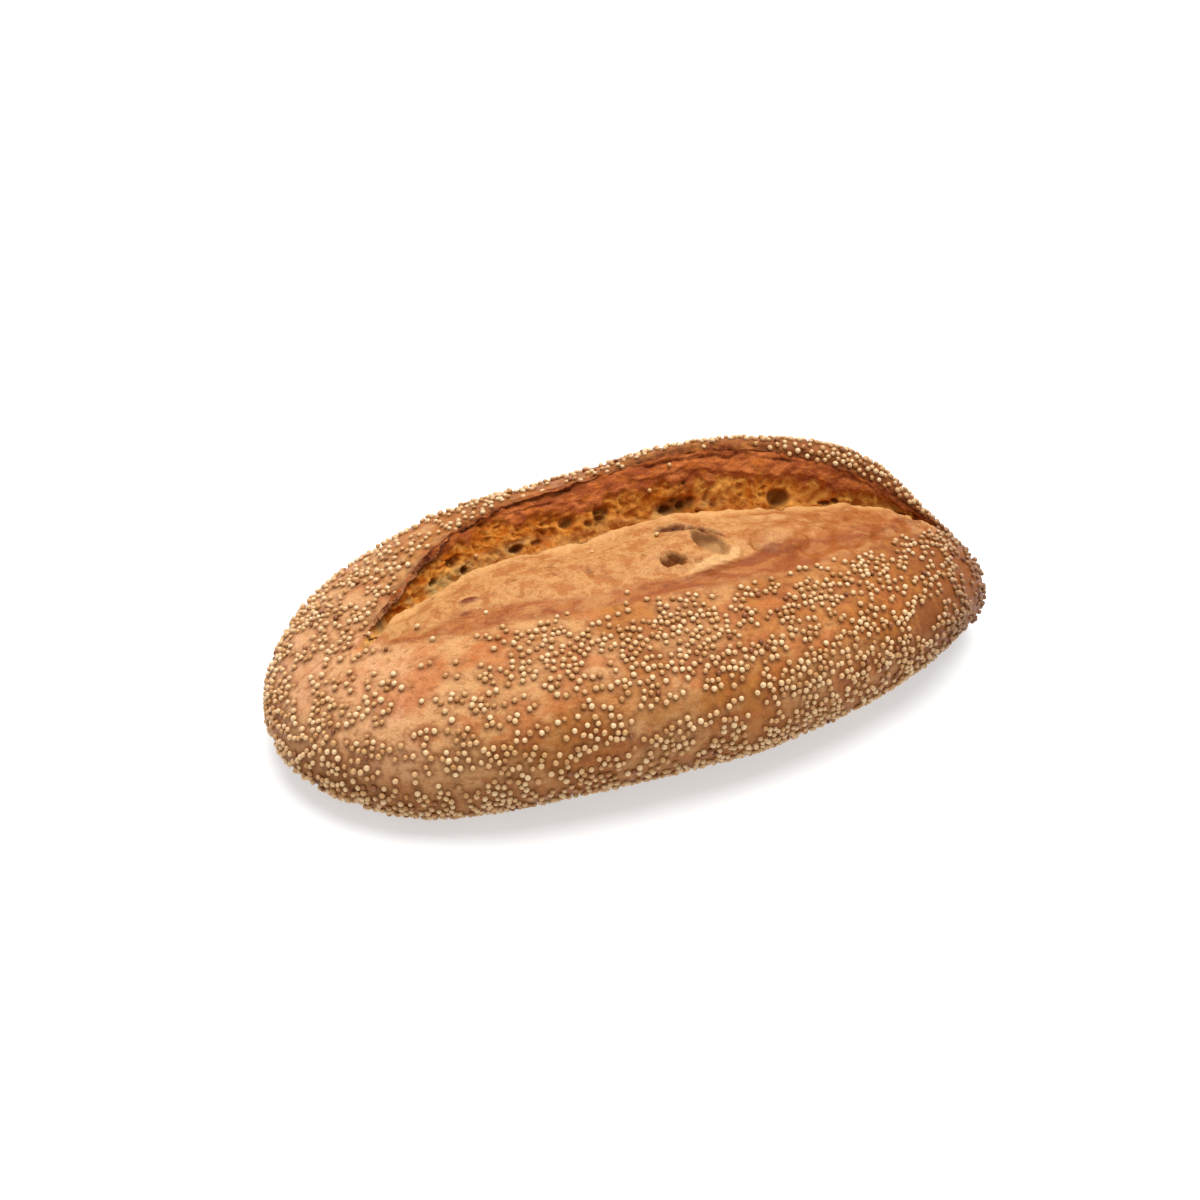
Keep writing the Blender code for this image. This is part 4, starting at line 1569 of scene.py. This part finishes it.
class SeedCoat:
    """Quinoa seeds baked onto the crust, in lacy bands with bare patches between."""

    def __init__(self, sizes: SeedSizes, bands: SeedBands, relief: Relief, points: Array,
                 box: tuple[Vector, Vector]) -> None:
        """Lays the seeds out over the finished surface.

        Args:
            sizes: The seeds' sizes.
            bands: Where they lie thick or thin.
            relief: The loaf's relief, whose masks keep seeds off the bloom.
            points: The finished surface's points.
            box: Lowest and highest corner that the seeds stay within.
        """
        self.sizes = sizes
        self.bands = bands
        self.grid = relief.grid
        self.relief = relief
        self.points = points
        self.x = relief.x
        self.normal = relief.grid.normals(points)
        self.low = np.array(box[0])
        self.high = np.array(box[1])
        self.random = np.random.default_rng(sizes.random_seed)
        self.places = self.scatter()

    def lace(self, along: float, across: float, seed: int) -> Array:
        """Thin wandering lines, broken into chains and clumps.

        Args:
            along: Size of the pattern along the loaf, in millimetres.
            across: Size of the pattern round the section, in millimetres.
            seed: Which pattern to draw.

        Returns:
            1 on a chain, 0 on bare crust.
        """
        grid = self.grid
        warp = 0.35 * grid.lumps(seed + 3, 8.0, 2)[..., None]
        lines = hump(Noise(seed).smooth(grid.sheet(along, across, 0.6) + warp), 0.15)
        breaks = ease(0.55 + 1.6 * grid.ripple(seed + 2, (7.5, 5.5, 3.2), 2))
        groups = Noise(seed + 1).fractal(grid.sheet(0.52 * along, 0.58 * across, 5.6) + warp, 3)
        return np.clip(np.maximum(0.85 * lines * breaks, ramp(groups, 0.08, 0.20)), 0.0, 1.0)

    def density(self) -> Array:
        """Share of the closest packing at each point of the net.

        Returns:
            One share per point, from 0 to 1.
        """
        grid, relief, masks, bands = self.grid, self.relief, self.relief.masks, self.bands
        u = grid.u[:, None]
        height = relief.height_mm
        turned = ramp(u, *bands.end_turn)
        share = (1.0 - turned) * self.lace(*bands.side_lace) + turned * self.lace(*bands.end_lace)
        clumps = ease(0.42 + 2.6 * grid.lumps(73, 7.0, 3))
        in_lace = bands.in_lace - bands.lost_at_end * ramp(u, *bands.end_thinner)
        share = bands.everywhere + in_lace * share + bands.in_clumps * clumps
        share = share + bands.at_foot * ramp(height, *bands.foot_height) * (0.30 + 0.70 * clumps)
        share = share + bands.at_left_end * ramp(-u, *bands.left_end) * clumps
        barer = ramp(-u, *bands.left_barer) * (1.0 - clumps)
        barer = barer * ramp(height, *bands.left_barer_height)
        share = share * (1.0 - 0.40 * barer)
        back = (grid.band[None, :] >= Band.EAR_TOP.value) * (1.0 - ramp(u, *bands.back_end))
        share = share * (1.0 - 0.42 * back * ramp(height, *bands.back_height))
        top_right = hump((u - 0.78) * HALF_LENGTH, 16.0) * hump(relief.foot + 4.0, 7.0)
        share = share + bands.at_top_right * top_right * clumps
        flap = hump((u - 0.74) * HALF_LENGTH, 30.0) * hump(relief.below_lip + 4.5, 5.0)
        share = share + bands.on_flap * flap
        beside = grid.band[None, :] <= Band.BLOOM_LOW.value
        near = np.where(beside, relief.foot, -99.0)
        margin, least = bands.bloom_margin, bands.beside_bloom
        thinned = least + (1.0 - least) * ease(-near / margin)
        share = share * np.where(near > -margin, thinned, 1.0)
        bare = ease(1.3 * hump(self.x + 79.0, 17.0) * hump(near + 10.5, 12.0))
        share = share * (1.0 - 0.96 * bare * (u < -0.2))
        lip = masks["lip"] * (1.0 - ramp(u, 0.36, 0.2) * (relief.below_lip < 0.2))
        lip = lip * (1.0 - 0.4 * ramp(u, -0.1, 0.2) * (relief.below_lip < -1.5))
        score = np.clip(masks["bloom"] + masks["inside"] + 0.9 * lip, 0.0, 1.0)
        share = share * (1.0 - ease(score / 0.45))
        share = share * (height > bands.lowest) * (grid.band[None, :] != Band.BASE.value)
        return np.clip(share, 0.0, 1.0)

    def scatter(self) -> Array:
        """Throws seeds at the surface and keeps those that land clear of the others.

        Returns:
            One row per seed: its centre, its normal and its radius.
        """
        sizes = self.sizes
        chance = -np.log(1.0 - sizes.fullest * self.density()) / sizes.tries_for_full
        onward = np.gradient(self.points, axis=0)
        round_it = 0.5 * (np.roll(self.points, -1, axis=1) - np.roll(self.points, 1, axis=1))
        area = np.linalg.norm(onward, axis=2) * np.linalg.norm(round_it, axis=2)
        area = area.ravel() / MM ** 2
        throws = int(sizes.throws * area.sum() / sizes.spacing ** 2)
        picks = self.random.choice(area.size, size=throws, p=area / area.sum())
        picks = picks[self.random.random(throws) < chance.ravel()[picks]]
        strays = [self.nearest(x, around) for x, around in sizes.strays]
        columns = self.grid.arc.shape[1]
        laid: dict[tuple[int, int, int], list[Array]] = {}
        chosen: list[Array] = []
        for pick in strays + picks.tolist():
            row, column = divmod(int(pick), columns)
            n = self.normal[row, column]
            a, b = self.random.uniform(-0.5, 0.5, 2)
            centre = self.points[row, column] + a * onward[row, column] + b * round_it[row, column]
            cell = tuple(np.floor(centre / (sizes.cell * MM)).astype(int))
            radius = self.random.uniform(*sizes.radius) * MM
            if self.crowded(laid, cell, centre, radius):
                continue
            laid.setdefault(cell, []).append(np.append(centre, radius))
            lifted = centre + n * radius * self.random.uniform(*sizes.lift)
            margin = sizes.box_margin * radius
            lifted = np.clip(lifted, self.low + margin, self.high - margin)
            chosen.append(np.concatenate([lifted, n, [radius]]))
        LOG.info("%d seeds laid", len(chosen))
        return np.array(chosen)

    def nearest(self, x: float, around: float) -> int:
        """Number of the net's point nearest to a place, in millimetres along and round."""
        return int(np.argmin((self.x - x) ** 2 + (self.relief.around - around) ** 2))

    def crowded(self, laid: dict[tuple[int, int, int], list[Array]],
                cell: tuple[int, int, int], centre: Array, radius: float) -> bool:
        """Whether a seed lies too near one that is laid already.

        Args:
            laid: The seeds laid so far, by cell, each with its centre and radius.
            cell: The new seed's cell.
            centre: The new seed's centre.
            radius: The new seed's radius.

        Returns:
            True if the place is taken.
        """
        for step in np.ndindex(3, 3, 3):
            near = (cell[0] + step[0] - 1, cell[1] + step[1] - 1, cell[2] + step[2] - 1)
            for other in laid.get(near, ()):
                if np.linalg.norm(other[:3] - centre) < self.sizes.clearance * (other[3] + radius):
                    return True
        return False

    def seed_shade(self) -> Array:
        """Painted shade round the seeds: how near each point of the net lies to a seed, 1 beside
        it and 0 clear of it.

        Returns:
            One value per point of the net.
        """
        tree = kdtree.KDTree(len(self.places))
        for number, row in enumerate(self.places):
            tree.insert(row[:3], number)
        tree.balance()
        gaps = np.array([tree.find(point)[2] for point in self.points.reshape(-1, 3)]) / MM
        halo = self.sizes.halo
        return ease((halo - gaps) / (0.5 * halo)).reshape(self.x.shape)

    def seed_shape(self) -> tuple[Array, Array, Array]:
        """One seed: a flattened ball with a collar round its rim.

        Returns:
            Its points, its triangles and quads as rows of four, and its rim mask.
        """
        count, rings, pole = self.sizes.segments, self.sizes.rings, self.sizes.pole
        rows = []
        for ring in range(1, rings + 1):
            tilt = math.pi * ring / (rings + 1)
            angle = np.arange(count) * math.tau / count
            rise = math.exp(-((tilt - 0.5 * math.pi) / self.sizes.collar_width) ** 2)
            collar = 1.0 + self.sizes.collar * rise
            x = math.sin(tilt) * np.cos(angle) * collar
            y = math.sin(tilt) * np.sin(angle) * collar
            rows.append(np.stack([x, y, np.full_like(x, math.cos(tilt))], axis=1))
        points = np.concatenate(rows + [np.array([[0.0, 0.0, pole], [0.0, 0.0, -pole]])])
        faces = []
        top, bottom = count * rings, count * rings + 1
        for k in range(count):
            after = (k + 1) % count
            faces.append((top, k, after, top))
            for ring in range(rings - 1):
                a, b = ring * count, (ring + 1) * count
                faces.append((a + k, b + k, b + after, a + after))
            last = (rings - 1) * count
            faces.append((bottom, last + after, last + k, bottom))
        return points, np.array(faces), hump(points[:, 2], self.sizes.rim_width)

    def build(self, kind: SeedKind, rows: Array) -> bpy.types.Object:
        """Makes one mesh of all the seeds of a kind.

        Args:
            kind: The kind of seed.
            rows: Centre, normal and radius of each.

        Returns:
            The mesh object.
        """
        sizes = self.sizes
        shape, faces, rim = self.seed_shape()
        random = np.random.default_rng(len(kind.name))
        points, all_faces, tints = [], [], []
        for number, row in enumerate(rows):
            centre, normal, radius = row[:3], row[3:6], row[6]
            lean = normal + random.normal(0.0, sizes.lean, 3)
            turn = Vector(lean).to_track_quat("Z", "Y").to_matrix()
            turn = np.array(turn @ Matrix.Rotation(random.uniform(0.0, math.tau), 3, "Z"))
            size = np.array([1.0, random.uniform(*sizes.width), random.uniform(*sizes.flatness)])
            points.append(centre + (shape * size * radius) @ turn.T)
            tints.append(np.full(len(shape), random.uniform(0.0, 1.0)))
            all_faces.extend(self.closed_faces(faces + number * len(shape)))
        mesh = bpy.data.meshes.new(kind.name)
        mesh.from_pydata(np.concatenate(points).tolist(), [], all_faces)
        mesh.shade_smooth()
        # Seeds darken towards the right end, less so above 30 mm: partly more baked, partly
        # painted shade on the end's lower part.
        above = ramp(rows[:, 2] / MM, 30.0, 16.0)
        baked = ramp(rows[:, 0] / MM, 62.0, 50.0) * (1.0 - 0.7 * above)
        give_masks(mesh, {"tint": np.concatenate(tints), "ring": np.tile(rim, len(rows)),
                          "baked": np.repeat(baked, len(shape))})
        mesh.materials.append(kind.build())
        return put_in_scene(kind.name, mesh)

    @staticmethod
    def closed_faces(faces: Array) -> list[tuple[int, ...]]:
        """Faces with a repeated last corner made triangles."""
        return [tuple(f[:3]) if f[3] == f[0] else tuple(f) for f in faces.tolist()]

    def build_all(self) -> list[bpy.types.Object]:
        """Makes one piece for each kind of seed.

        Returns:
            The pieces, in the kinds' order.
        """
        order = self.random.random(len(self.places))
        pieces, start = [], 0.0
        for kind in SeedKinds:
            end = start + kind.value.share
            rows = self.places[(order >= start) & (order < end)]
            pieces.append(self.build(kind.value, rows))
            LOG.info("%s: %d seeds", kind.value.name, len(rows))
            start = end
        return pieces


@dataclass(frozen=True)
class CameraPlace:
    """Where the photograph was taken from, in degrees, metres and millimetres."""

    azimuth: float = -23.7
    elevation: float = 30.95
    distance: float = 0.600
    target_height: float = 0.030
    lens: float = 55.37
    aim_right: float = -0.0144
    aim_up: float = 0.0025
    sensor: float = 36.0
    clip: tuple[float, float] = (0.02, 20.0)

    def build(self) -> bpy.types.Object:
        """Makes the camera.

        Returns:
            The camera, which the scene uses.
        """
        a, e = math.radians(self.azimuth), math.radians(self.elevation)
        back = Vector((math.sin(a) * math.cos(e), -math.cos(a) * math.cos(e), math.sin(e)))
        right = Vector((math.cos(a), math.sin(a), 0.0))
        up = back.cross(right)
        data = bpy.data.cameras.new("camera")
        data.lens = self.lens
        data.sensor_width = self.sensor
        data.clip_start, data.clip_end = self.clip
        camera = put_in_scene("camera", data)
        camera.location = Vector((0.0, 0.0, self.target_height)) + back * self.distance
        aim = Vector((0.0, 0.0, self.target_height)) + right * self.aim_right + up * self.aim_up
        camera.rotation_mode = "QUATERNION"
        camera.rotation_quaternion = (aim - camera.location).to_track_quat("-Z", "Y")
        bpy.context.scene.camera = camera
        return camera


@dataclass(frozen=True)
class Softbox:
    """Soft light from far off, from the direction of a point seen from the loaf."""

    name: str
    towards: tuple[float, float, float]
    strength: float
    spread: float

    def build(self) -> bpy.types.Object:
        """Makes the light, whose spread in degrees sets how soft its shadows are.

        Returns:
            The light.
        """
        data = bpy.data.lights.new(self.name, "SUN")
        data.energy = self.strength
        data.angle = math.radians(self.spread)
        lamp = put_in_scene(self.name, data)
        lamp.location = Vector(self.towards).normalized()
        lamp.rotation_mode = "QUATERNION"
        lamp.rotation_quaternion = Vector(self.towards).to_track_quat("Z", "Y")
        return lamp


@dataclass(frozen=True)
class Studio:
    """Pale floor, soft light from above and behind, and the camera."""

    lights: tuple[Softbox, ...] = (Softbox("overhead", (0.14, 0.06, 1.0), 4.8, 52.0),)
    ambient: float = 0.50
    floor_grey: float = 0.45
    floor_glow: float = 0.54
    floor_half: float = 12.0
    floor_drop: float = 0.0002

    def build(self) -> None:
        """Makes the floor, the lights, the surroundings and the camera."""
        self.build_floor()
        for light in self.lights:
            light.build()
        world = bpy.data.worlds.new("surroundings")
        world.use_nodes = True
        background = world.node_tree.nodes["Background"]
        background.inputs["Color"].default_value = WHITE
        background.inputs["Strength"].default_value = self.ambient
        bpy.context.scene.world = world
        bpy.context.scene.view_settings.view_transform = "Standard"
        CameraPlace().build()

    def build_floor(self) -> bpy.types.Object:
        """Makes the pale floor, which isn't part of the loaf.

        Returns:
            The floor.
        """
        half = self.floor_half
        square = [(-half, -half, 0.0), (half, -half, 0.0), (half, half, 0.0), (-half, half, 0.0)]
        mesh = bpy.data.meshes.new("floor")
        mesh.from_pydata(square, [], [(0, 1, 2, 3)])
        mesh.materials.append(Nodes("floor").finished({
            "Base Color": (self.floor_grey,) * 3 + (1.0,), "Emission Color": WHITE,
            "Emission Strength": self.floor_glow, "Roughness": 0.9, "Specular IOR Level": 0.1}))
        floor = put_in_scene("floor", mesh)
        floor.location.z = -self.floor_drop
        floor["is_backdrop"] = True
        return floor


def main() -> None:
    """Builds the loaf, its seeds and the studio."""
    logging.basicConfig(level=logging.INFO, format="%(name)s: %(message)s")
    cad_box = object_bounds()
    form = LoafForm(LoafSizes(), ScoreSizes())
    grid = LoafGrid(form)
    relief = Relief(grid, ReliefSpots(), ReliefHeights())
    loaf = Loaf(grid, relief, LoafFinish())
    coat = SeedCoat(SeedSizes(), SeedBands(), relief, loaf.points, cad_box)
    # painted shade round the seeds
    loaf.seed_shade = coat.seed_shade()
    body = loaf.build()
    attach(body, "root")
    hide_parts("loaf")
    LOG.info("loaf body: %d faces", len(body.data.polygons))
    for seeds in coat.build_all():
        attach(seeds, "root")
    Studio().build()


if __name__ == "__main__":
    main()
